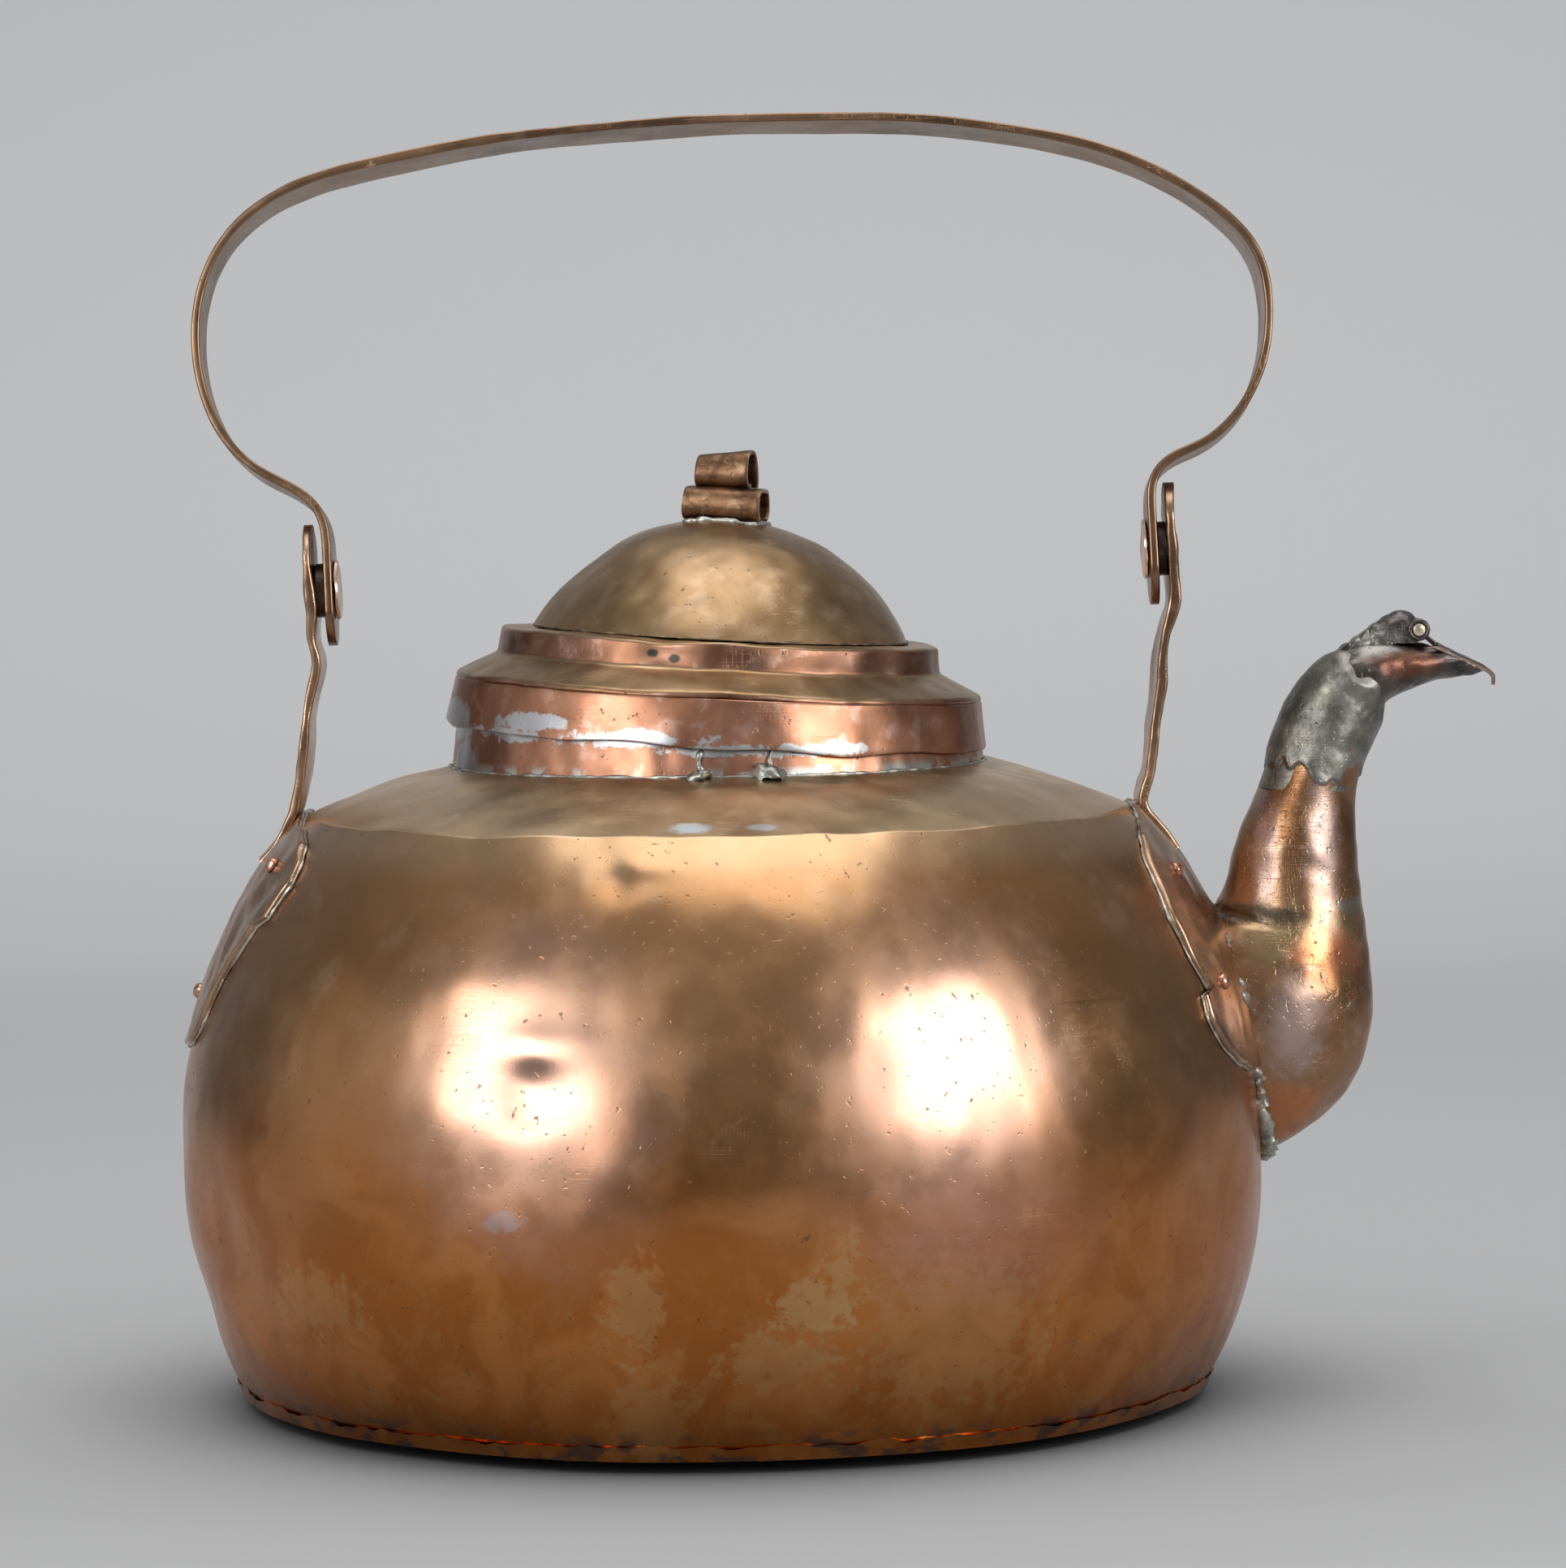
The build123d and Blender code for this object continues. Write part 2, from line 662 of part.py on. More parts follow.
knob_base = lid_plane.offset(dome_base + dome_rise)
knob_axis = knob_base.rotated((0, 0, knob_turn))
knob_side = Plane(origin=knob_base.origin, x_dir=knob_axis.y_dir, z_dir=knob_axis.x_dir)
with BuildPart() as lid_knob:
    with BuildSketch(knob_side):
        with Locations((0, roll_height / 2 - 1)):
            RectangleRounded(roll_depth, roll_height + 2, roll_height / 2)
            RectangleRounded(
                roll_depth - 2 * knob_sheet,
                roll_height + 2 - 2 * knob_sheet,
                roll_height / 2 - knob_sheet,
                mode=Mode.SUBTRACT,
            )
    extrude(amount=roll_length / 2, both=True)
    with BuildSketch(knob_side):
        with BuildLine():
            low = roll_height - knob_sheet
            high = roll_height + curl_height
            Line((-curl_depth / 2, low), (curl_depth / 2, low))
            Line((curl_depth / 2, low), (2.4, high - 1.8))
            ThreePointArc((2.4, high - 1.8), (0, high), (-2.4, high - 1.8))
            Line((-2.4, high - 1.8), (-curl_depth / 2, low))
        make_face()
        offset(amount=-knob_sheet, kind=Kind.INTERSECTION, mode=Mode.SUBTRACT)
    extrude(amount=curl_length / 2, both=True)
    add(lid_dome_ball.part, mode=Mode.SUBTRACT)

# --- Writing the pieces ------------------------------------------------------------------------
pieces = {
    "body_wall": body_wall,
    "shoulder": shoulder,
    "neck_collar": neck_collar,
    "bottom_plate": bottom_plate,
    "left_strap": left_strap,
    "right_strap": right_strap,
    "left_strap_rivets": left_strap_rivets,
    "right_strap_rivets": right_strap_rivets,
    "left_pivot_rivet": left_pivot_rivet,
    "right_pivot_rivet": right_pivot_rivet,
    "left_washer": left_washer,
    "right_washer": right_washer,
    "bail_handle": bail_handle,
    "spout_tube": spout_tube,
    "spout_base_solder": spout_base_solder,
    "spout_tin_sleeve": spout_tin_sleeve,
    "spout_head": spout_head,
    "crest_ridge": crest_ridge,
    "hinge_pin": hinge_pin,
    "beak_flap": beak_flap,
    "lid_skirt": lid_skirt,
    "lid_cover": lid_cover,
    "lid_dome": lid_dome,
    "lid_knob": lid_knob,
}

os.makedirs("parts", exist_ok=True)
for name, piece in pieces.items():
    piece.part.label = name
    export_step(piece.part, f"parts/{name}.step")
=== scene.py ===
"""Looks of a large old copper kettle with a bird-head spout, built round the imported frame.

Shapes are worked out in millimetres in the frame's own axes and written to Blender in metres.
"""

import json
import math

import bmesh
import bpy
import numpy as np
from mathutils import Matrix

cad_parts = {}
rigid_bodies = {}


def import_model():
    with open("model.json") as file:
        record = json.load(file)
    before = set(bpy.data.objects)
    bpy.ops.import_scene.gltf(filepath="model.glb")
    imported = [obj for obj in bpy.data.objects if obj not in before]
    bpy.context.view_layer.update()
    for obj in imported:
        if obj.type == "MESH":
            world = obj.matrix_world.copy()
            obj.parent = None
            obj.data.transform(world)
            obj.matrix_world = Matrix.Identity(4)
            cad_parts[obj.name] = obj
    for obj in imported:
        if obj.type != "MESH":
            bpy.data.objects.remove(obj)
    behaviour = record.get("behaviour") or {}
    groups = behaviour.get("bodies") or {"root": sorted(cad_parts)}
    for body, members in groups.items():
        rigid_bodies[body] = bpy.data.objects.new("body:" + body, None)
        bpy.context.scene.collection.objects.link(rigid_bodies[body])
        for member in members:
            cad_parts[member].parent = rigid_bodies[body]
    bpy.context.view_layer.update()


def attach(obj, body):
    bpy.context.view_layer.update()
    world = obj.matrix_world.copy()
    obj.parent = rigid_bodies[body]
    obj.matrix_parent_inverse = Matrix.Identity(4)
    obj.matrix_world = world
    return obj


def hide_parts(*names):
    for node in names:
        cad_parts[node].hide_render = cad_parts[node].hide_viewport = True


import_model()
MM = 0.001

# --- Dimensions shared with the frame ----------------------------------------------------------
sheet = 1.2
edge_height = 4.5
base_radius = 134.8
rest_radius = 96.0
seam_height = 2.6
belly_radius = 150.8
belly_height = 61.0
crease_radius = 114.3
crease_height = 158.5
shoulder_center = 60.0
shoulder_top = edge_height + crease_height + 13.4
neck_radius = 74.0
neck_top_radius = 70.9
lid_x = 0.5
lid_height = 197.0
lid_tilt = math.radians(3.6)
pivot_x = 7.3
pivot_height = 229.8
pivot_tilt = math.radians(2.1)
strap_half_span = 119.5
bail_half_span = 114.3
bail_lean = math.radians(7.5)


# --- Numbers -----------------------------------------------------------------------------------
def field(points, wavelength, seed, waves=28):
    """Smooth noise of unit strength, the same at the same place on every run."""
    rng = np.random.default_rng(seed)
    way = rng.normal(size=(waves, 3))
    way /= np.linalg.norm(way, axis=1)[:, None]
    way *= (2 * np.pi / (wavelength * rng.uniform(0.75, 1.35, waves)))[:, None]
    phase = rng.uniform(0, 2 * np.pi, waves)
    return np.cos(points @ way.T + phase).sum(-1) * math.sqrt(2 / waves)


def jitter(points, wavelength, seed):
    """Three smooth noises as a displacement."""
    return np.stack([field(points, wavelength, seed + k) for k in range(3)], -1)


def spline(points, count):
    """Natural cubic curve through points, at evenly spread places."""
    p = np.array(points, float)
    t = np.concatenate([[0], np.cumsum(np.linalg.norm(np.diff(p, axis=0), axis=1))])
    h = np.diff(t)
    n = len(p)
    a = np.eye(n)
    b = np.zeros_like(p)
    for i in range(1, n - 1):
        a[i, i - 1 : i + 2] = h[i - 1], 2 * (h[i - 1] + h[i]), h[i]
        b[i] = 6 * ((p[i + 1] - p[i]) / h[i] - (p[i] - p[i - 1]) / h[i - 1])
    m = np.linalg.solve(a, b)
    x = np.linspace(0, t[-1], count)
    k = np.clip(np.searchsorted(t, x) - 1, 0, n - 2)
    left, right, w = (t[k + 1] - x)[:, None], (x - t[k])[:, None], h[k][:, None]
    bend = (m[k] * left**3 + m[k + 1] * right**3) / (6 * w)
    return bend + (p[k] / w - m[k] * w / 6) * left + (p[k + 1] / w - m[k + 1] * w / 6) * right


def unit(v):
    return v / np.maximum(np.linalg.norm(v, axis=-1, keepdims=True), 1e-9)


def step(value, low, high):
    """Smooth step from 0 at low to 1 at high."""
    t = np.clip((value - low) / (high - low), 0, 1)
    return t * t * (3 - 2 * t)


def near(points, place, size):
    """Bump of height 1 at a place, that fades over size."""
    return np.exp(-(((points - np.array(place)) / np.array(size)) ** 2).sum(-1))


def wall_radius(height):
    """Outer radius of the wall: a circle below the belly, an ellipse above it."""
    h = np.asarray(height, float)
    inset = belly_radius - base_radius + sheet
    arc = (inset**2 + belly_height**2) / (2 * inset)
    reach = belly_radius - shoulder_center
    end = (crease_radius - shoulder_center) / reach
    tall = (crease_height - belly_height) / math.sqrt(1 - end**2)
    low = belly_radius - arc + np.sqrt(np.maximum(arc**2 - (belly_height - h) ** 2, 0))
    high = shoulder_center + reach * np.sqrt(np.maximum(1 - ((h - belly_height) / tall) ** 2, 0))
    return np.where(h < belly_height, low, high)


def wall_normal(height):
    slope = (wall_radius(height + 0.05) - wall_radius(height - 0.05)) / 0.1
    return unit(np.stack([np.ones_like(slope), -slope], -1))


def body_relief(p):
    """How far the beaten sheet of the body stands out of its true round form."""
    out = 0.42 * field(p, 95, 11) + 0.13 * field(p, 34, 12) + 0.035 * field(p * (1, 1, 0.45), 11, 13)
    out -= 1.25 * near(p, (-47.5, -139.5, 99.5), (10.5, 14, 8.0))
    out += 0.75 * near(p, (-46.0, -139.5, 111), (15, 15, 5.5))
    out -= 0.3 * near(p, (-48.5, -140, 93.2), (5.2, 14, 2.6))
    out -= 2.6 * near(p, (-135, -66, 55), (20, 22, 15))
    out -= 2.0 * near(p, (-123, -80, 33), (16, 18, 13))
    out -= 1.6 * near(p, (-146, -20, 30), (18, 30, 12))
    out -= 0.7 * near(p, (-26, -121, 153), (5, 12, 6))
    out += 0.5 * near(p, (-18, -122, 156), (9, 12, 3))
    out -= 0.9 * near(p, (128, -70, 70), (24, 24, 22))
    return out - 0.66 * np.exp(-(((p[..., 2] - belly_height - edge_height) / 24) ** 2))


# --- Meshes ------------------------------------------------------------------------------------
def grid(points, close_rows=False, close_columns=False, caps=False):
    """Vertices and faces of a net of points (rows, columns, 3)."""
    rows, columns = points.shape[:2]
    number = np.arange(rows * columns).reshape(rows, columns)
    i = number if close_rows else number[:-1]
    j = np.roll(number, -1, 0) if close_rows else number[1:]
    if close_columns:
        quads = [i, np.roll(i, -1, 1), np.roll(j, -1, 1), j]
    else:
        quads = [i[:, :-1], i[:, 1:], j[:, 1:], j[:, :-1]]
    faces = np.stack(quads, -1).reshape(-1, 4).tolist()
    if caps:
        faces += [number[0][::-1].tolist(), number[-1].tolist()]
    return points.reshape(-1, 3), faces


def joined(*nets):
    """Several (vertices, faces) as one."""
    vertices, faces, start = [], [], 0
    for net_vertices, net_faces in nets:
        vertices.append(net_vertices)
        faces += [[start + k for k in face] for face in net_faces]
        start += len(net_vertices)
    return np.concatenate(vertices), faces


def piece(name, net, body, material, nodes=(), sharp=38):
    """A Blender object from (vertices in mm, faces) that rides on a body."""
    vertices, faces = net
    mesh = bpy.data.meshes.new(name)
    mesh.from_pydata((vertices * MM).tolist(), [], faces)
    mesh.validate()
    mesh.update()
    work = bmesh.new()
    work.from_mesh(mesh)
    bmesh.ops.remove_doubles(work, verts=work.verts, dist=1e-6)
    bmesh.ops.recalc_face_normals(work, faces=work.faces)
    work.to_mesh(mesh)
    work.free()
    mesh.shade_smooth()
    mesh.set_sharp_from_angle(angle=math.radians(sharp))
    mesh.materials.append(material)
    made = bpy.data.objects.new(name, mesh)
    bpy.context.scene.collection.objects.link(made)
    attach(made, body)
    if nodes:
        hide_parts(*nodes)
    return made


def rounded(corners, radius, steps=4):
    """Closed outline with its corners rounded."""
    p = np.array(corners, float)
    out = []
    for k in range(len(p)):
        before, here, after = p[k - 1], p[k], p[(k + 1) % len(p)]
        reach = min(radius, 0.45 * np.linalg.norm(before - here), 0.45 * np.linalg.norm(after - here))
        start = here + unit(before - here) * reach
        end = here + unit(after - here) * reach
        for s in np.linspace(0, 1, steps):
            out.append((1 - s) ** 2 * start + 2 * s * (1 - s) * here + s**2 * end)
    return np.array(out)


def dense(outline, gap):
    """Closed outline with points added where they lie far apart."""
    out = []
    for k, here in enumerate(outline):
        after = outline[(k + 1) % len(outline)]
        parts = max(1, int(np.linalg.norm(after - here) / gap))
        out += [here + (after - here) * s / parts for s in range(parts)]
    return np.array(out)


def turned(outline, columns, place=None):
    """Net of an outline (radius, height) turned about the Z axis, then placed."""
    angle = np.linspace(0, 2 * np.pi, columns, endpoint=False)
    r, z = outline[:, 0][:, None], outline[:, 1][:, None]
    net = np.stack([r * np.cos(angle), r * np.sin(angle), z + 0 * angle], -1)
    return net if place is None else net @ place[0].T + place[1]


def strip(path, thick_way, side_way, half_width, half_thick, corner=0.5, across=10):
    """Closed net of a flat strip along a path, with rounded edges."""
    rows = len(path)
    hw = np.broadcast_to(half_width, rows)
    ht = np.broadcast_to(half_thick, rows)
    net = []
    for k in range(rows):
        r = min(corner, 0.9 * ht[k], 0.9 * hw[k])
        flat = np.linspace(-1, 1, across) * (hw[k] - r)
        arc = np.linspace(0, np.pi / 2, 4)
        ring = [(x, ht[k]) for x in flat]
        ring += [(hw[k] - r + r * math.sin(a), ht[k] - r + r * math.cos(a)) for a in arc[1:]]
        ring += [(hw[k] - r + r * math.cos(a), -ht[k] + r - r * math.sin(a)) for a in arc]
        ring += [(x, -ht[k]) for x in flat[::-1][1:]]
        ring += [(-hw[k] + r - r * math.sin(a), -ht[k] + r - r * math.cos(a)) for a in arc[1:]]
        ring += [(-hw[k] + r - r * math.cos(a), ht[k] - r + r * math.sin(a)) for a in arc[:-1]]
        ring = np.array(ring)
        side = side_way[k] if np.ndim(side_way) > 1 else side_way
        net.append(path[k] + ring[:, :1] * side + ring[:, 1:] * thick_way[k])
    return np.array(net)


def end_widths(distance, half_width):
    """Half width of a strip with a round end, by the distance from its end."""
    inside = np.clip(distance, 0, half_width)
    return np.sqrt(np.maximum(half_width**2 - (half_width - inside) ** 2, 0.15))


def frame_from(z_way, x_hint):
    """Columns of a turn whose Z points along z_way."""
    z = unit(np.array(z_way, float))
    y = unit(np.cross(z, np.array(x_hint, float)))
    return np.stack([np.cross(y, z), y, z], -1)


def bead(path, radius, seed, around=10, flat=None):
    """Net of an uneven bead of solder along a path."""
    tangent = unit(np.gradient(path, axis=0))
    up = flat if flat is not None else np.array([0, 0, 1.0])
    side = unit(np.cross(tangent, up))
    rise = np.cross(side, tangent)
    angle = np.linspace(0, 2 * np.pi, around, endpoint=False)
    size = radius * (1 + 0.32 * field(path, 7, seed) + 0.2 * field(path, 2.6, seed + 1))
    size = np.maximum(size, 0.25 * radius) * np.ones(len(path))
    taper = np.minimum(np.arange(len(path)), np.arange(len(path))[::-1]) / 3
    size = size * np.clip(np.sqrt(taper + 0.02), 0, 1)
    ring = side[:, None] * np.cos(angle)[:, None] + rise[:, None] * np.sin(angle)[:, None]
    return path[:, None] + ring * size[:, None, None]


# --- Materials ---------------------------------------------------------------------------------
class Metal:
    """A metal with patches of patina, spots, fine scratches and worn edges, all procedural."""

    def __init__(self, name, roughness=0.3):
        self.made = bpy.data.materials.new(name)
        self.made.use_nodes = True
        self.tree = self.made.node_tree
        self.shader = self.tree.nodes["Principled BSDF"]
        self.shader.inputs["Metallic"].default_value = 1.0
        self.shader.inputs["Roughness"].default_value = roughness
        self.place = self.node("ShaderNodeTexCoord").outputs["Object"]

    def node(self, kind, **inputs):
        made = self.tree.nodes.new(kind)
        for key, value in inputs.items():
            self.set(made.inputs[key.replace("_", " ")], value)
        return made

    def set(self, socket, value):
        if isinstance(value, bpy.types.NodeSocket):
            self.tree.links.new(value, socket)
        else:
            socket.default_value = value

    def noise(self, size, detail=3.0, stretch=None, distortion=0.0, rough=0.55):
        """Noise of a size in millimetres, about 0.5 in the middle."""
        vector = self.place
        if stretch:
            scaled = self.node("ShaderNodeMapping", Vector=self.place, Scale=stretch)
            vector = scaled.outputs[0]
        made = self.node("ShaderNodeTexNoise", Vector=vector, Scale=1000 / size, Detail=detail,
                         Roughness=rough, Distortion=distortion)
        return made.outputs["Fac"]

    def band(self, value, low, high, to_low=0.0, to_high=1.0):
        made = self.node("ShaderNodeMapRange")
        made.interpolation_type = "SMOOTHSTEP"
        for key, number in zip(range(5), (value, low, high, to_low, to_high)):
            self.set(made.inputs[key], number)
        return made.outputs[0]

    def math(self, kind, a, b=0.0):
        made = self.tree.nodes.new("ShaderNodeMath")
        made.operation = kind
        self.set(made.inputs[0], a)
        self.set(made.inputs[1], b)
        return made.outputs[0]

    def mix(self, share, a, b, blend="MIX"):
        made = self.tree.nodes.new("ShaderNodeMix")
        made.data_type = "RGBA"
        made.blend_type = blend
        self.set(made.inputs[0], share)
        for socket, value in ((made.inputs[6], a), (made.inputs[7], b)):
            self.set(socket, (*value, 1.0) if isinstance(value, tuple) else value)
        return made.outputs[2]

    def axis(self, letter, source=None):
        made = self.node("ShaderNodeSeparateXYZ", Vector=source or self.place)
        return made.outputs[letter]

    def spot(self, place, size, wobble=0.6, grain=6.0, edge=0.35):
        """Mask round a place: 1 inside a ragged outline of about that size, 0 outside."""
        moved = self.node("ShaderNodeVectorMath")
        moved.operation = "SUBTRACT"
        self.set(moved.inputs[0], self.place)
        moved.inputs[1].default_value = tuple(v * MM for v in place)
        scaled = self.node("ShaderNodeVectorMath")
        scaled.operation = "MULTIPLY"
        self.set(scaled.inputs[0], moved.outputs[0])
        scaled.inputs[1].default_value = tuple(1000 / v for v in size)
        far = self.node("ShaderNodeVectorMath")
        far.operation = "LENGTH"
        self.set(far.inputs[0], scaled.outputs[0])
        ragged = self.math("MULTIPLY_ADD", self.noise(grain, 5.0, rough=0.65), 2 * wobble)
        ragged.node.inputs[2].default_value = -wobble
        total = self.math("ADD", far.outputs["Value"], ragged)
        return self.band(total, 1.0 + edge, 1.0 - edge)

    def patina(self, dark, mid, light, patch=70.0, speck=9.0):
        """Base colour in three tones."""
        large = self.noise(patch, 4.0, distortion=0.6)
        small = self.noise(speck, 4.0)
        colour = self.mix(self.band(large, 0.36, 0.62), dark, mid)
        return self.mix(self.band(small, 0.5, 0.74, 0.0, 0.6), colour, light)

    def finish(self, colour, rough, scratch=0.5, grain=0.35, pits=0.0, fine=1.0, edge=None, thin=0.0):
        """Links colour, roughness (low, high) and bump, and gives the material."""
        lines = []
        for size, stretch in ((6.0, (0.12, 0.12, 7.0)), (5.0, (6.0, 6.0, 0.2)), (7.0, (0.3, 2.0, 7.0))):
            wave = self.noise(size, 0.0, stretch=stretch)
            lines.append(self.band(self.math("ABSOLUTE", self.math("SUBTRACT", wave, 0.5)), 0.0, 0.012,
                1.0, 0.0))
        gate = self.band(self.noise(28.0, 2.0), 0.52, 0.72)
        scratches = self.math("MULTIPLY", self.math("MAXIMUM", self.math("MAXIMUM", lines[0], lines[1]),
            lines[2]), gate)
        specks = self.band(self.noise(2.2 * fine, 2.0), 0.66, 0.76)
        colour = self.mix(self.math("MULTIPLY", specks, 0.45), colour, (0.05, 0.03, 0.02))
        if thin:
            colour = self.mix(self.math("MULTIPLY", scratches, thin), colour, (0.12, 0.07, 0.045))
        if edge:
            worn = self.band(self.node("ShaderNodeNewGeometry").outputs["Pointiness"], 0.53, 0.62)
            colour = self.mix(worn, colour, edge)
        self.set(self.shader.inputs["Base Color"], colour)
        blotch = self.noise(17.0, 4.0)
        value = self.band(blotch, 0.3, 0.7, rough[0], rough[1])
        value = self.math("ADD", value, self.math("MULTIPLY", specks, 0.2))
        self.set(self.shader.inputs["Roughness"], value)
        height = self.math("MULTIPLY", scratches, -scratch)
        height = self.math("ADD", height, self.math("MULTIPLY", self.noise(1.3 * fine, 3.0), grain))
        height = self.math("ADD", height, self.math("MULTIPLY", specks, -0.6))
        if pits:
            holes = self.band(self.noise(3.4 * fine, 2.0, distortion=1.5), 0.6, 0.72)
            height = self.math("ADD", height, self.math("MULTIPLY", holes, -pits))
        bump = self.node("ShaderNodeBump", Height=height, Strength=0.5, Distance=0.00012)
        self.set(self.shader.inputs["Normal"], bump.outputs[0])
        return self.made


BROWN = (0.45, 0.240, 0.112)
UMBER = (0.335, 0.165, 0.068)
TIN = (0.60, 0.59, 0.57)
# near-black for painted shade in the cover's dent and in the spout's fold
PAINTED_SHADE_DARK = (0.045, 0.04, 0.035)


def body_copper():
    m = Metal("body_copper")
    colour = m.patina(UMBER, BROWN, (0.48, 0.295, 0.175), 90, 14)
    z = m.axis("Z")
    low = m.math("ADD", z, m.math("MULTIPLY", m.noise(45, 4.0), 0.05))
    warm = m.mix(m.band(m.noise(26, 4.0, distortion=0.8), 0.4, 0.62), (0.42, 0.135, 0.028),
        (0.53, 0.195, 0.052))
    colour = m.mix(m.band(low, 0.136, 0.072), colour, warm)
    veins = m.noise(20, 6.0, distortion=2.2, rough=0.7)
    gold = m.math("MULTIPLY", m.band(veins, 0.5, 0.6), m.band(z, 0.08, 0.03))
    colour = m.mix(m.math("MULTIPLY", gold, 0.22), colour, (0.46, 0.27, 0.11))
    for place, size, share in (
        ((-22, -148, 46), (7, 30, 11), 0.4), ((24, -147, 45), (9, 30, 7), 0.65),
        ((31, -146, 53), (4, 30, 11), 0.5), ((-18, -138, 15), (9, 30, 12), 0.3),
        ((14, -143, 30), (14, 30, 6), 0.35), ((60, -132, 36), (24, 30, 20), 0.3),
        ((-105, -95, 42), (12, 30, 9), 0.3),
    ):
        mask = m.spot(place, size, 1.9, 4.5, 0.3)
        colour = m.mix(m.math("MULTIPLY", mask, share), colour, (0.56, 0.345, 0.15))
    # painted highlight: a pale pink tint on the belly where the two softbox highlights fall
    for place in ((-49, -138, 101), (60, -134, 101)):
        painted_highlight_tint = m.math("MULTIPLY", m.spot(place, (30, 60, 36), 0.5, 16.0, 0.7), 0.75)
        colour = m.mix(painted_highlight_tint, colour, (0.50, 0.315, 0.25))
    blue = m.spot((-55, -140, 67), (5, 20, 2.6), 1.4, 4.0)
    colour = m.mix(m.math("MULTIPLY", blue, 0.35), colour, (0.42, 0.42, 0.50))
    violet = m.spot((70, -130, 58), (30, 40, 14), 1.2, 18.0, 0.7)
    colour = m.mix(m.math("MULTIPLY", violet, 0.2), colour, (0.50, 0.28, 0.27))
    rim = m.math("MULTIPLY", m.band(z, 0.0135, 0.0065), m.band(m.noise(9, 5.0, stretch=(1, 1, 1.8)), 0.5,
        0.6))
    colour = m.mix(m.math("MULTIPLY", rim, 0.75), colour, (0.10, 0.085, 0.08))
    top = m.math("MULTIPLY", m.band(z, 0.149, 0.16), 0.5)
    colour = m.mix(top, colour, (0.52, 0.36, 0.22))
    return m.finish(colour, (0.225, 0.32), scratch=0.1, grain=0.16, thin=0.3)


def plain_copper(name, dark, mid, light, rough, **more):
    m = Metal(name)
    patch = more.pop("patch", 30)
    speck = more.pop("speck", 6)
    return m.finish(m.patina(dark, mid, light, patch, speck), rough, **more)


def shoulder_copper():
    m = Metal("shoulder_copper")
    colour = m.patina((0.45, 0.31, 0.175), (0.60, 0.42, 0.25), (0.68, 0.50, 0.33), 60, 12)
    haze = m.noise(30, 3.0, stretch=(1, 0.5, 1), distortion=0.5)
    colour = m.mix(m.band(haze, 0.5, 0.68, 0, 0.35), colour, (0.60, 0.46, 0.33))
    for place, size in (((-6, -108.5, 165), (5, 3, 3)), ((12.6, -107.8, 165), (4, 2, 3))):
        colour = m.mix(m.spot(place, size, 0.7, 3.0), colour, (0.62, 0.66, 0.68))
    ring = m.math("MULTIPLY", m.spot((0, 0, 176), (79, 79, 30), 0.1, 7.0, 0.06), 0.55)
    colour = m.mix(ring, colour, (0.24, 0.20, 0.12))
    return m.finish(colour, (0.3, 0.4), scratch=0.8, grain=0.22)


def band_copper():
    """Neck and skirt: redder, with smears of tin."""
    m = Metal("band_copper")
    colour = m.patina((0.30, 0.14, 0.08), (0.41, 0.20, 0.125), (0.58, 0.38, 0.31), 22, 6)
    tin = None
    for place, size, wobble in (
        ((-74, -18, 190), (11, 22, 6), 0.6), ((-56, -49, 187.5), (13, 14, 2.2), 1.7),
        ((-25, -71, 186.4), (20, 12, 2.2), 1.8), ((2, -75, 183.2), (20, 9, 1.5), 2.0),
        ((28, -70, 183), (18, 12, 1.6), 1.9), ((-70, -26, 180), (4, 12, 6), 1.0),
        ((-50, -55, 190.5), (10, 14, 2.6), 1.3), ((-30, 68, 186), (30, 14, 3), 1.8),
    ):
        mask = m.spot(place, size, wobble, 5.0, 0.14)
        tin = mask if tin is None else m.math("MAXIMUM", tin, mask)
    colour = m.mix(tin, colour, (0.50, 0.50, 0.51))
    foot = m.math("MULTIPLY", m.band(m.axis("Z"), 0.1795, 0.1768), m.band(m.noise(9, 4.0), 0.46, 0.56))
    colour = m.mix(foot, colour, (0.48, 0.48, 0.45))
    return m.finish(colour, (0.28, 0.4), scratch=0.3, grain=0.3, edge=(0.66, 0.4, 0.29))


def lid_copper():
    """Cover and dome: olive on the top faces, red on the upright band of the step."""
    m = Metal("lid_copper")
    up = m.axis("Z", m.tree.nodes["Texture Coordinate"].outputs["Normal"])
    olive = m.patina((0.25, 0.155, 0.075), (0.36, 0.235, 0.128), (0.47, 0.33, 0.21), 34, 9)
    red = m.patina((0.20, 0.095, 0.052), (0.30, 0.155, 0.10), (0.50, 0.33, 0.27), 24, 6)
    low = m.band(m.axis("Z"), 0.2165, 0.2125)
    side = m.math("MULTIPLY", m.band(up, 0.5, 0.3), low)
    colour = m.mix(side, olive, red)
    # painted shade: two dark marks on the rims of the cover's dent
    for place in ((-16.5, -58, 209), (-10.5, -59.5, 207.5)):
        colour = m.mix(m.spot(place, (1.6, 4, 1.1), 0.3, 2.0), colour, PAINTED_SHADE_DARK)
    return m.finish(colour, (0.29, 0.4), scratch=0.6, grain=0.25)


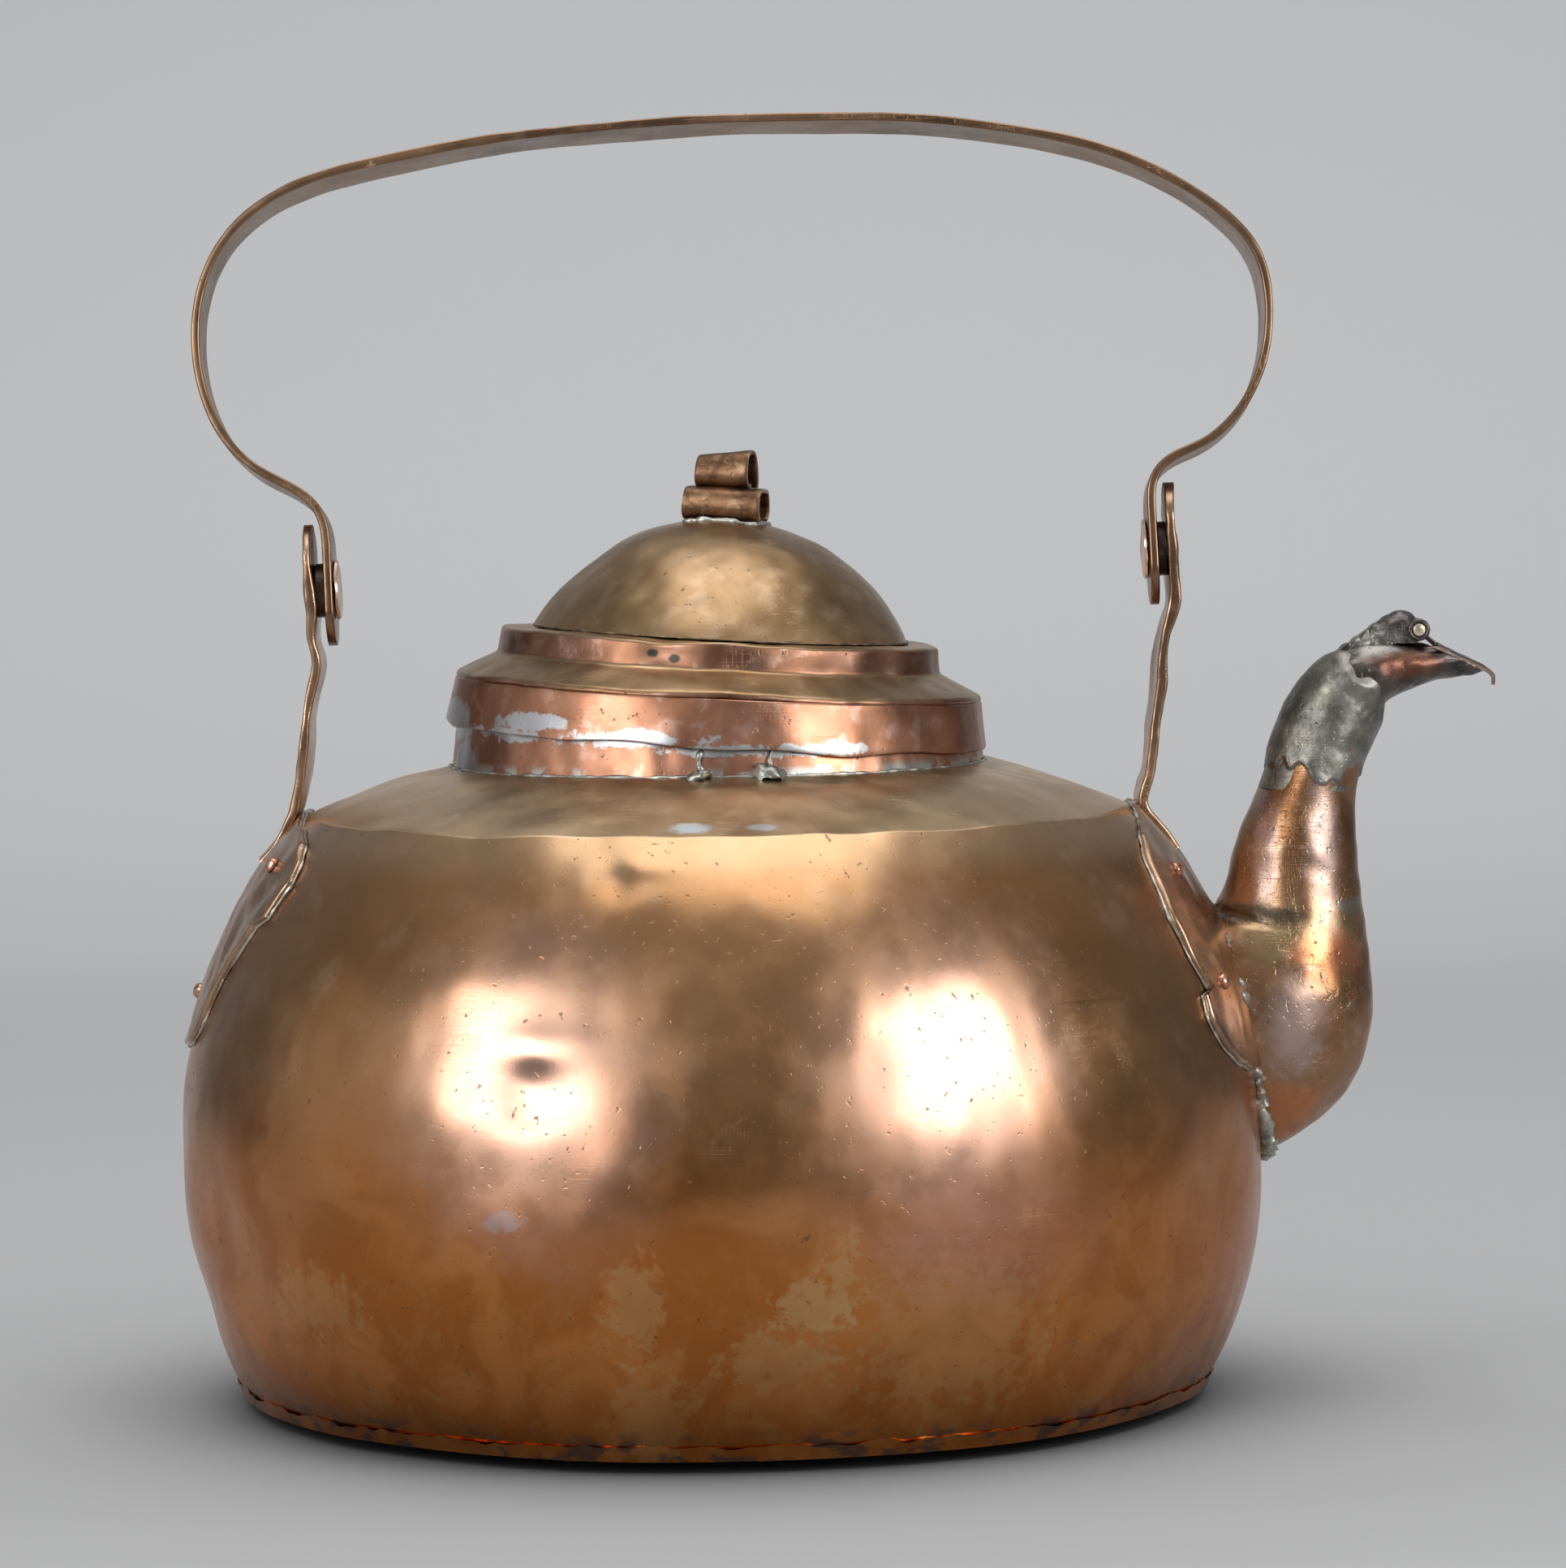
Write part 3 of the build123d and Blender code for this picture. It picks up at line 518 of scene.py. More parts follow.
def spout_copper():
    m = Metal("spout_copper")
    colour = m.patina((0.24, 0.115, 0.05), (0.35, 0.19, 0.10), (0.45, 0.31, 0.21), 26, 5)
    brass = m.spot((160, -14, 128), (17, 22, 8), 1.0, 12.0, 0.5)
    colour = m.mix(m.math("MULTIPLY", brass, 0.6), colour, (0.48, 0.36, 0.2))
    red = m.math("MAXIMUM", m.spot((158, -26, 78), (9, 20, 9), 0.9, 9.0, 0.5),
        m.spot((168, -18, 122), (9, 15, 6), 0.9, 8.0, 0.5))
    colour = m.mix(m.math("MULTIPLY", red, 0.7), colour, (0.62, 0.22, 0.10))
    # pale pink patches on the neck and bulb: filed bare metal, and painted highlight where the spout's
    # highlights fall
    for place, size in (((151, -12, 152), (3.4, 20, 19)), ((167, -16, 152), (4.6, 20, 20)),
        ((158, -26, 103), (8, 20, 13))):
        filed_and_highlight = m.math("MULTIPLY", m.spot(place, size, 1.1, 5.0, 0.5), 0.7)
        colour = m.mix(filed_and_highlight, colour, (0.50, 0.37, 0.33))
    brown = m.band(m.noise(12, 5.0), 0.55, 0.68)
    colour = m.mix(m.math("MULTIPLY", brown, 0.45), colour, (0.25, 0.15, 0.08))
    # painted shade along the fold where the bulb meets the neck
    crease_shade = m.spot((146, -16, 133), (15, 14, 2.6), 1.3, 6.0, 0.4)
    colour = m.mix(m.math("MULTIPLY", crease_shade, 0.75), colour, PAINTED_SHADE_DARK)
    tin = m.spot((174, -10, 135), (6, 9, 2.0), 1.0, 4.0)
    colour = m.mix(m.math("MULTIPLY", tin, 0.5), colour, (0.3, 0.36, 0.35))
    return m.finish(colour, (0.27, 0.38), scratch=0.5, grain=0.6, pits=1.0)


def tin_metal(name, base=TIN, rough=(0.26, 0.42), pits=1.6):
    m = Metal(name)
    colour = m.patina(tuple(0.55 * v for v in base), base, tuple(min(1, 1.25 * v) for v in base), 12, 3)
    rust = m.band(m.noise(4.2, 2.0), 0.7, 0.78)
    colour = m.mix(m.math("MULTIPLY", rust, 0.8), colour, (0.42, 0.19, 0.07))
    green = m.band(m.noise(9, 3.0), 0.56, 0.7)
    colour = m.mix(m.math("MULTIPLY", green, 0.35), colour, (0.33, 0.32, 0.22))
    return m.finish(colour, rough, scratch=1.2, grain=0.7, pits=pits, fine=0.8)


def head_bronze():
    m = Metal("head_bronze")
    colour = m.patina((0.065, 0.06, 0.06), (0.13, 0.108, 0.098), (0.21, 0.175, 0.155), 9, 3)
    cheek = m.spot((192, -9, 201), (9, 12, 3.6), 0.7, 6.0, 0.5)
    colour = m.mix(m.math("MULTIPLY", cheek, 0.7), colour, (0.20, 0.075, 0.04))
    paper_light_and_shade = m.spot((182, -11, 208), (9, 12, 3.4), 0.6, 6.0, 0.5)
    colour = m.mix(m.math("MULTIPLY", paper_light_and_shade, 0.7), colour, (0.33, 0.33, 0.30))
    return m.finish(colour, (0.22, 0.36), scratch=0.8, grain=0.5, pits=0.9, fine=0.7,
        edge=(0.55, 0.36, 0.29))


metals = {
    "body": body_copper(),
    "shoulder": shoulder_copper(),
    "band": band_copper(),
    "lid": lid_copper(),
    "spout": spout_copper(),
    "head": head_bronze(),
    "strap": plain_copper("strap_copper", (0.30, 0.18, 0.11), (0.46, 0.28, 0.17), (0.62, 0.42, 0.30),
        (0.24, 0.36), pits=0.5, edge=(0.8, 0.56, 0.46)),
    "bail": plain_copper("bail_copper", (0.19, 0.11, 0.065), (0.29, 0.172, 0.10), (0.38, 0.25, 0.17),
        (0.26, 0.38), patch=40, speck=8, edge=(0.72, 0.46, 0.29)),
    "rivet": plain_copper("rivet_copper", (0.45, 0.2, 0.12), (0.66, 0.34, 0.23), (0.85, 0.56, 0.44),
        (0.2, 0.3), patch=4, speck=1.5),
    "pivot": plain_copper("pivot_copper", (0.26, 0.18, 0.13), (0.42, 0.29, 0.21), (0.6, 0.44, 0.34),
        (0.25, 0.36), patch=8, speck=3, edge=(0.75, 0.52, 0.42)),
    "washer": plain_copper("washer_copper", (0.05, 0.045, 0.04), (0.09, 0.07, 0.06), (0.2, 0.15, 0.1),
        (0.4, 0.55), patch=6, speck=2),
    # dark brown of the dome's seam: the joint line, and painted shade in the corner at the dome's foot
    "seam": plain_copper("seam_and_shade", (0.10, 0.08, 0.055), (0.22, 0.16, 0.10), (0.40, 0.31, 0.2),
        (0.38, 0.5), patch=5, speck=2),
    "knob": plain_copper("knob_copper", (0.11, 0.06, 0.035), (0.235, 0.13, 0.07), (0.36, 0.25, 0.165),
        (0.36, 0.48), patch=7, speck=2.5, pits=0.9, edge=(0.6, 0.44, 0.33)),
    "solder": tin_metal("solder_metal", (0.50, 0.50, 0.45), (0.3, 0.5)),
    "tin": tin_metal("tin_metal", (0.275, 0.265, 0.235), (0.34, 0.48), 1.0),
    "brass": plain_copper("brass_pin_metal", (0.6, 0.5, 0.38), (0.78, 0.69, 0.55), (0.9, 0.85, 0.75),
        (0.22, 0.34), patch=2, speck=0.8, fine=0.5),
}

# --- Body: wall, shoulder, neck, bottom --------------------------------------------------------
COLUMNS = 640


def relieved(net):
    """Moves a net of the body in or out with the beaten sheet."""
    flat = net.reshape(-1, 3)
    out = body_relief(flat)
    radial = unit(np.concatenate([flat[:, :2], np.zeros((len(flat), 1))], 1))
    return (flat + radial * out[:, None]).reshape(net.shape)


def crease_lift(p):
    """Unevenness of the edge between wall and shoulder."""
    return 0.4 * field(p * (1, 1, 0), 52, 21) + 0.12 * field(p * (1, 1, 0), 19, 22)


heights = np.linspace(0, crease_height, 190)
outer = np.stack([wall_radius(heights), edge_height + heights], -1)
inner = np.stack([wall_radius(heights[::-3]) - sheet, edge_height + heights[::-3]], -1)
inner[0, 1] -= sheet
net = turned(np.concatenate([outer, inner]), COLUMNS)
net = relieved(net)
top_share = step(net[..., 2], 138, edge_height + crease_height)
net[..., 2] += (crease_lift(net.reshape(-1, 3)).reshape(net.shape[:2])) * top_share
piece("body_wall_skin", grid(net, close_rows=True, close_columns=True), "kettle",
    metals["body"], ["body_wall"], 50)


def shoulder_line(count, drop):
    """Points of the shoulder from the crease to the neck: radius, height."""
    start = np.array([crease_radius, edge_height + crease_height])
    end = np.array([neck_radius + 0.05, shoulder_top])
    share = np.linspace(0, 1, count)[:, None]
    line = start + (end - start) * share
    line[:, 1] += 0.9 * 4 * share[:, 0] * (1 - share[:, 0]) - drop
    return line


outline = np.concatenate([shoulder_line(70, 0), shoulder_line(24, sheet)[::-1]])
outline[0, 1] -= 0.25
net = turned(outline, COLUMNS)
from_edge = 1 - step(np.hypot(net[..., 0], net[..., 1]), crease_radius - 32, crease_radius)
flat = net.reshape(-1, 3)
lift = crease_lift(flat).reshape(net.shape[:2]) * (1 - from_edge)
lift += (0.35 * field(flat, 40, 31) + 0.08 * field(flat, 13, 32)).reshape(net.shape[:2]) * from_edge
lift *= step(np.hypot(net[..., 0], net[..., 1]), neck_radius - 1, neck_radius + 6)
net = relieved(net) * (1 - from_edge[..., None]) + net * from_edge[..., None]
net[..., 2] += lift
piece("shoulder_skin", grid(net, close_rows=True, close_columns=True), "kettle",
    metals["shoulder"], ["shoulder"], 50)

bottom_arc = spline([(rest_radius, 0), (112, 0.55), (126, 1.9), (134.2, edge_height - sheet)], 24)
bottom_in = bottom_arc[::-1] + (0, sheet)
rim = [wall_radius(seam_height) + 0.55, edge_height + seam_height]
rim_in = [wall_radius(seam_height) + 0.05, edge_height + seam_height]
outline = np.concatenate([
    [(0, 0), (40, 0), (80, 0)], bottom_arc,
    [(wall_radius(0.2) + 0.8, edge_height + 0.2), rim, rim_in, (wall_radius(0), edge_height)],
    bottom_in, [(80, sheet), (40, sheet), (0, sheet)],
])
net = turned(outline, COLUMNS)
rough_edge = 0.3 * field(net.reshape(-1, 3), 16, 41) + 0.22 * field(net.reshape(-1, 3), 6, 42)
rough_edge = rough_edge.reshape(net.shape[:2]) * step(net[..., 2], edge_height - 1,
    edge_height + seam_height)
rim_share = step(np.hypot(net[..., 0], net[..., 1]), 130, base_radius)[..., None]
net = relieved(net) * rim_share + net * (1 - rim_share)
net[..., 2] += rough_edge
piece("bottom_plate_skin", grid(net, close_columns=True), "kettle", metals["body"],
    ["bottom_plate"], 40)

lid_turn = np.array([
    [math.cos(lid_tilt), 0, math.sin(lid_tilt)],
    [0, 1, 0],
    [-math.sin(lid_tilt), 0, math.cos(lid_tilt)],
])
lid_place = (lid_turn, np.array([lid_x, 0, lid_height]))
neck = rounded([
    (neck_radius, shoulder_top - 4.2), (neck_radius, shoulder_top), (neck_top_radius, lid_height),
    (neck_top_radius - sheet, lid_height), (neck_radius - sheet, shoulder_top),
    (neck_radius - sheet, shoulder_top - 4.2),
], 0.5)
net = turned(dense(neck, 1.5), 420)
tilt_top = -np.tan(lid_tilt) * (net[..., 0] - lid_x) - sheet - 0.3
net[..., 2] += tilt_top * step(net[..., 2], shoulder_top, lid_height)
flat = net.reshape(-1, 3)
out = 0.22 * field(flat, 30, 51) + 0.06 * field(flat, 9, 52)
net = net + unit(net * (1, 1, 0)) * out.reshape(net.shape[:2])[..., None] * (net[..., 2] < lid_height
    - 4)[..., None]
piece("neck_skin", grid(net, close_rows=True, close_columns=True), "kettle",
    metals["band"], ["neck_collar"])

# --- Lid ---------------------------------------------------------------------------------------
skirt_radius, skirt_top_radius, skirt_depth, step_radius = 75.4, 73.2, 12.9, 61.2
cover_rise, step_rise, dome_radius, dome_rise = 7.2, 7.2, 52.0, 32.0
step_top = cover_rise + step_rise


def lid_net(outline, columns, gap, amounts):
    """Turned piece of the lid with beaten unevenness."""
    net = turned(dense(outline, gap), columns)
    flat = net.reshape(-1, 3)
    out = sum(amount * field(flat, wave, seed) for amount, wave, seed in amounts)
    up = sum(0.7 * amount * field(flat * (1, 1, 0.2), wave, seed + 5) for amount, wave, seed in amounts)
    net = net + unit(net * (1, 1, 0) + 1e-9) * out.reshape(net.shape[:2])[..., None]
    net[..., 2] += up.reshape(net.shape[:2])
    return net


skirt = rounded([(skirt_radius, -skirt_depth), (skirt_top_radius, 0.1), (skirt_top_radius - sheet, 0.1),
    (skirt_radius - sheet, -skirt_depth)], 0.5)
net = lid_net(skirt, 420, 1.2, [(0.16, 45, 61), (0.07, 14, 62)])
edge = 1 - step(net[..., 2], -skirt_depth, -2)
net[..., 2] += edge * 0.35 * field(net.reshape(-1, 3) * (1, 1, 0), 32, 65).reshape(net.shape[:2])
net = net @ lid_place[0].T + lid_place[1]
piece("lid_skirt_skin", grid(net, close_rows=True, close_columns=True), "lid",
    metals["band"], ["lid_skirt"])

cover = rounded([
    (skirt_top_radius - 2.6, -sheet), (skirt_top_radius + 0.1, 0.1), (skirt_top_radius - 0.3, sheet + 0.3),
    (step_radius + 0.4, cover_rise), (step_radius - 0.4, step_top), (dome_radius - 3, step_top + 0.5),
    (dome_radius - 3, step_top - 0.7), (step_radius - 2, step_top - sheet),
    (step_radius - 1.2, cover_rise - sheet),
], 1.0, 6)
net = lid_net(cover, 420, 1.2, [(0.22, 38, 71), (0.09, 12, 72)])
flat = net.reshape(-1, 3)
hollow = 1.3 * near(flat, (-14, -60, 12), (7, 9, 4)) - 0.5 * near(flat, (-3, -60, 14), (10, 9, 3))
net[..., 2] -= hollow.reshape(net.shape[:2]) * 0.8
net = net + unit(net * (1, 1, 0) + 1e-9) * (-hollow.reshape(net.shape[:2]) * 0.7)[..., None]
net = net @ lid_place[0].T + lid_place[1]
piece("lid_cover_skin", grid(net, close_rows=True, close_columns=True), "lid",
    metals["lid"], ["lid_cover"])

dome_base = step_top + 0.6
dome_ball = (dome_radius**2 + dome_rise**2) / (2 * dome_rise)
centre = dome_base + dome_rise - dome_ball
wide = math.acos((dome_base - centre) / dome_ball)
arc = np.linspace(wide, 0.0008, 90)
outside = np.stack([dome_ball * np.sin(arc), centre + dome_ball * np.cos(arc)], -1)
arc = np.linspace(0.0008, wide, 40)
inside = np.stack([(dome_ball - sheet) * np.sin(arc), centre + (dome_ball - sheet) * np.cos(arc)], -1)
inside[-1, 1] = dome_base
net = turned(np.concatenate([outside, inside]), 420)
flat = net.reshape(-1, 3)
out = 0.24 * field(flat, 42, 81) + 0.1 * field(flat, 16, 82) + 0.03 * field(flat, 7, 83)
out -= 1.1 * near(flat, (-38, -10, 36), (9, 14, 9))
out *= step(np.hypot(flat[:, 0], flat[:, 1]), 2, 20)
way = unit(flat - (0, 0, centre))
net = (flat + way * out[:, None]).reshape(net.shape) @ lid_place[0].T + lid_place[1]
piece("lid_dome_skin", grid(net, close_columns=True), "lid", metals["lid"], ["lid_dome"])

# dome seam bead: the joint line, coloured dark as painted shade in the corner at the dome's foot
angle = np.linspace(0, 2 * np.pi, 260)
seam = np.stack([dome_radius * np.cos(angle), dome_radius * np.sin(angle),
    np.full(260, dome_base + 0.15)], -1)
net = bead(seam, 0.3, 90) @ lid_place[0].T + lid_place[1]
piece("lid_seam_and_shade", grid(net, close_columns=True), "lid", metals["seam"])

# Knob: a flat roll with a smaller, turned-up curl on it
turn = -math.radians(15)
knob_turn = lid_turn @ np.array([
    [math.cos(turn), -math.sin(turn), 0], [math.sin(turn), math.cos(turn), 0], [0, 0, 1],
])
knob_place = (knob_turn, lid_turn @ np.array([0, 0, dome_base + dome_rise]) + lid_place[1])


def rolled(loop, length, slant, thick, seed):
    """Sheet rolled into a loop (y, z), open at both ends, along X."""
    middle = np.array(loop, float)
    tangent = unit(np.gradient(middle, axis=0))
    normal = np.stack([tangent[:, 1], -tangent[:, 0]], -1)
    outside = middle + normal * thick / 2
    inside = middle - normal * thick / 2
    share = np.concatenate([[-1, -0.985, -0.95], np.linspace(-0.9, 0.9, 17), [0.95, 0.985, 1]])
    rows = []
    for s in share:
        shrink = 1 - 0.3 * max(0, abs(s) - 0.94) / 0.06
        thin = (outside + inside) / 2
        half = (outside - inside) / 2 * shrink
        ring = np.concatenate([thin + half, (thin - half)[::-1]])
        x = s * length / 2 + slant * ring[:, 0] * s
        rows.append(np.stack([x, ring[:, 0], ring[:, 1]], -1))
    net = np.array(rows)
    return net + 0.09 * jitter(net.reshape(-1, 3), 11, seed).reshape(net.shape)


roll = spline([(5.2, 0.2), (6.6, 1.6), (6.9, 4.2), (5.6, 7.3), (2, 8.1), (-2.5, 8.15), (-5.8, 7.2),
    (-6.9, 4.4), (-6.6, 1.6), (-5.2, 0.1)], 60)
lower = rolled(roll, 21.2, -0.06, 1.3, 101)
curl = spline([(5.4, 8.9), (4.9, 11.5), (3.7, 14.5), (2.0, 17.1), (-0.4, 17.8), (-3.2, 16.6),
    (-4.6, 13.8), (-4.4, 10.9), (-2.8, 9.5), (-0.6, 9.3)], 60)
upper = rolled(curl, 15.6, 0.05, 1.3, 104)
upper[..., 2] += 0.13 * upper[..., 0] * step(upper[..., 2], 8, 17)
upper[..., 0] -= 1.0
parts = [grid(n @ knob_place[0].T + knob_place[1], close_columns=True) for n in (lower, upper)]


def end_faces(net):
    """Closes the cut ends of a rolled sheet between its outer and inner face."""
    rows, columns = net.shape[:2]
    half = columns // 2
    faces = []
    for start, flip in ((0, 1), ((rows - 1) * columns, -1)):
        for k in range(half - 1):
            faces.append([start + k, start + k + 1, start + columns - 2 - k,
                start + columns - 1 - k][::flip])
    return faces


parts = [(v, f + end_faces(n)) for (v, f), n in zip(parts, (lower, upper))]
piece("lid_knob_roll", joined(*parts), "lid", metals["knob"], ["lid_knob"], 45)
path = np.array([(x, y, 0.0) for x, y in rounded([(-10.6, -7.4), (10.4, -7.4), (10.4, 7.4), (-10.6, 7.4)],
    2, 5)])
path = dense(path, 0.6)
path[:, 2] = -(path[:, 0] ** 2 + path[:, 1] ** 2) / (2 * dome_ball) + 0.1
net = bead(np.concatenate([path, path[:1]]), 0.75, 110) @ knob_place[0].T + knob_place[1]
piece("lid_knob_solder", grid(net, close_columns=True), "lid", metals["solder"])

# --- Straps ------------------------------------------------------------------------------------
plates = {
    -1: ([(12.5, 158.3), (30, 156), (46, 151.5), (54.5, 143), (54, 134)],
         [(49, 131.5), (45.8, 124), (38.5, 113.5), (34.5, 103), (20, 96.5), (0, 94.5)]),
    1: ([(12.5, 158.3), (27, 154.6), (42, 148.5), (52.5, 138), (58.2, 124), (55, 111)],
        [(60.3, 110), (61, 104), (58, 97), (50, 91.5), (30, 87), (0, 86)]),
}
uprights = {
    -1: [(117.9, 163.6), (115.4, 174), (113.9, 186), (112.1, 198.5), (110.9, 208)],
    1: [(117.9, 163.6), (119.6, 171), (121.4, 184), (123.1, 197), (124.4, 210)],
}
rivet_places = {
    -1: [(146.0, -34.0), (146.0, 34.0), (109.0, 0.0)],
    1: [(141.5, -34.0), (141.5, 34.0), (112.3, -46.2), (112.3, 46.2)],
}
side_name = {-1: "left", 1: "right"}


def on_wall(y, height, out, toward):
    """Point on the beaten wall at a side, a distance out of its face."""
    y, height, out = np.broadcast_arrays(np.asarray(y, float), np.asarray(height, float),
        np.asarray(out, float))
    radius = wall_radius(height)
    normal = wall_normal(height)
    x = toward * np.sqrt(np.maximum(radius**2 - y**2, 1))
    point = np.stack([x, y, edge_height + height], -1)
    lift = body_relief(point.reshape(-1, 3)).reshape(radius.shape)
    way = np.stack([normal[..., 0] * x / radius, normal[..., 0] * y / radius, normal[..., 1]], -1)
    return point + way * (out + lift)[..., None]


for toward in (-1, 1):
    side = side_name[toward]
    high, low = plates[toward]
    half = np.concatenate([spline(high, 70), spline(low, 90)])
    outline = np.concatenate([half, (half * (-1, 1))[::-1]])
    outline = dense(outline, 1.0)
    middle = np.array([0, 128.0])
    rim_noise = field(np.concatenate([outline, np.full((len(outline), 1), toward * 50.0)], 1), 9, 121)
    outline = outline + unit(outline - middle) * (0.22 * rim_noise)[:, None]
    reach = np.linalg.norm(outline - middle, axis=1)
    shares, outs = [], []
    for s in np.linspace(0.03, 0.955, 26):
        shares.append(np.full(len(outline), s))
        outs.append(np.full(len(outline), 1.9))
    for a in np.linspace(0, np.pi / 2, 7):
        shares.append(1 - (1.1 - 1.1 * math.sin(a)) / reach)
        outs.append(np.full(len(outline), 1.0 + 1.0 * math.cos(a)))
    shares.append(np.ones(len(outline)))
    outs.append(np.full(len(outline), 0.05))
    net = []
    for s, out in zip(shares, outs):
        place = middle + (outline - middle) * s[:, None]
        bumpy = 0.16 * field(np.concatenate([place, place[:, :1] * 0 + toward * 9], 1), 13, 125)
        hump = sum(0.9 * np.exp(-((place[:, 0] - y) ** 2 + (place[:, 1] - h) ** 2) / 30) for h,
            y in rivet_places[toward])
        net.append(on_wall(place[:, 0], place[:, 1], out + (bumpy + 0.25 * hump) * (out > 1.5), toward))
    plate_net = grid(np.array(net), close_columns=True)
    # upright: strip along its side line, with a round upper end
    climb = np.array([-math.sin(pivot_tilt), 0, math.cos(pivot_tilt)])
    eye = np.array([pivot_x + toward * strap_half_span * math.cos(pivot_tilt), 0,
        pivot_height + toward * strap_half_span * math.sin(pivot_tilt)])
    foot = on_wall(0, crease_height - 13, 1.4, toward)
    line = [foot, on_wall(0, crease_height - 6, 1.5, toward)] + [np.array([toward * x, 0, z]) for x,
        z in uprights[toward]]
    line += [eye - climb * 15.5, eye - climb * 8, eye, eye + climb * 9, eye + climb * 18.5]
    path = spline(line, 170)
    along = np.concatenate([[0], np.cumsum(np.linalg.norm(np.diff(path, axis=0), axis=1))])
    tangent = unit(np.gradient(path, axis=0))
    thick_way = np.stack([tangent[:, 2], tangent[:, 1], -tangent[:, 0]], -1)
    widths = 12.4 + 0.2 * field(path, 30, 131)
    widths = np.minimum(widths, end_widths(along[-1] - along, 12.0))
    thick = 1.35 + 0.14 * field(path, 16, 133 + toward)
    net = strip(path, thick_way, np.array([0, 1.0, 0]), widths, np.maximum(thick, 1.0), 0.7, 12)
    net = net + 0.16 * jitter(net.reshape(-1, 3), 18,
        137 + toward).reshape(net.shape) + 0.05 * jitter(net.reshape(-1, 3), 5, 138).reshape(net.shape)
    strap_net = grid(net, close_columns=True, caps=True)
    piece(f"{side}_strap_skin", joined(plate_net, strap_net), "kettle", metals["strap"],
        [f"{side}_strap"], 45)

    edge = on_wall(outline[:, 0] * 1.006, outline[:, 1], 0.35, toward)
    net = bead(np.concatenate([edge, edge[:1]]), 0.42, 141 + toward, 8)
    piece(f"{side}_strap_solder", grid(net, close_columns=True), "kettle", metals["solder"])

    # rivets with domed heads outside and flat heads inside
    head = np.concatenate([
        [(2.3 * math.sin(a), 1.9 + 0.3 + 1.7 * math.cos(a)) for a in np.linspace(0.001, np.pi / 2, 12)],
        [(2.32, 2.0), (1.2, 1.8), (1.2, -1.5), (2.3, -1.6), (2.2, -2.2), (0.001, -2.3)],
    ])
    nets = []
    for k, (h, y) in enumerate(rivet_places[toward]):
        here = on_wall(y, h, 0, toward)
        normal = wall_normal(np.array(h, float))
        r = float(wall_radius(h))
        way = (normal[0] * here[0] / r, normal[0] * y / r, normal[1])
        net = turned(head, 28, (frame_from(way, (0, 1, 0)), here))
        net = net + 0.09 * jitter(net.reshape(-1, 3), 3, 151 + k).reshape(net.shape)
        nets.append(grid(net, close_columns=True))
    piece(f"{side}_rivet_heads", joined(*nets), "kettle", metals["rivet"],
        [f"{side}_strap_rivets"])

    # pivot rivet with its wide head on the bail's inner face, and the washer
    across = np.array([toward * math.cos(pivot_tilt), 0, toward * math.sin(pivot_tilt)])
    inner_face = bail_half_span - strap_half_span - 1.5
    pivot = np.array([
        (0.001, 2.45), (2.2, 2.3), (3.8, 1.9), (4.8, 1.35), (3.2, 1.3), (3.2, inner_face),
        (8.0, inner_face), (8.4, inner_face - 0.3), (8.1, inner_face - 0.9), (5.0, inner_face - 1.25),
        (0.001, inner_face - 1.4),
    ])
    turn = (frame_from(across, (0, 1, 0)), eye)
    net = turned(pivot, 40, turn)
    net = net + 0.12 * jitter(net.reshape(-1, 3), 7, 161 + toward).reshape(net.shape)
    piece(f"{side}_pivot_head", grid(net, close_columns=True), "kettle", metals["pivot"],
        [f"{side}_pivot_rivet"])
    room = strap_half_span - 1.25 - bail_half_span - 1.2
    ring = rounded([(3.26, -1.25 - room + 0.15), (7.5, -1.25 - room + 0.15), (7.5, -1.4), (3.26, -1.4)],
        0.2)
    piece(f"{side}_washer_ring", grid(turned(ring, 40, turn), close_rows=True, close_columns=True),
        "kettle", metals["washer"], [f"{side}_washer"])

# --- Bail --------------------------------------------------------------------------------------
bail_arch = [
    (-bail_half_span, 12), (-bail_half_span - 0.5, 17), (-bail_half_span - 2.6, 22.3), (-121.8, 27),
    (-131.5, 33), (-140, 41.5), (-145.6, 53.5), (-148, 69), (-145.6, 86), (-137.5, 100),
    (-121, 111.4), (-95, 118), (-60, 123), (-15, 125), (38.4, 123.7), (80, 118.5), (112, 108.8),
    (135, 95), (147, 80.5), (149.6, 64), (146, 46.5), (138, 34.2), (129, 27.8), (121.3, 24.6),
    (bail_half_span + 2.2, 20.6), (bail_half_span + 0.4, 16.2), (bail_half_span, 12),
]
bail_across = np.array([math.cos(pivot_tilt), 0, math.sin(pivot_tilt)])
upright_way = np.array([-math.sin(pivot_tilt), 0, math.cos(pivot_tilt)])
bail_up = upright_way * math.cos(bail_lean) + np.array([0, 1.0, 0]) * math.sin(bail_lean)
bail_side = np.cross(bail_up, bail_across)
arch = spline(bail_arch, 520)
tail = np.linspace(-15.5, 11.4, 44)
arch = np.concatenate([
    np.stack([np.full(44, -bail_half_span), tail], -1), arch,
    np.stack([np.full(44, bail_half_span), tail[::-1]], -1),
])
along = np.concatenate([[0], np.cumsum(np.linalg.norm(np.diff(arch, axis=0), axis=1))])
path = np.array([pivot_x, 0, pivot_height]) + arch[:, :1] * bail_across + arch[:, 1:] * bail_up
tangent = unit(np.gradient(arch, axis=0))
out_way = -tangent[:, 1:] * bail_across + tangent[:, :1] * bail_up
ends = np.minimum(along, along[-1] - along)
widths = 10.5 + 0.15 * field(path, 60, 171)
widths = np.minimum(widths, end_widths(ends, 10.5))
inner_part = step(ends, 30, 60)
thick = 1.2 + inner_part * (0.06 * field(path, 40, 172) + 0.03 * field(path, 12, 173))
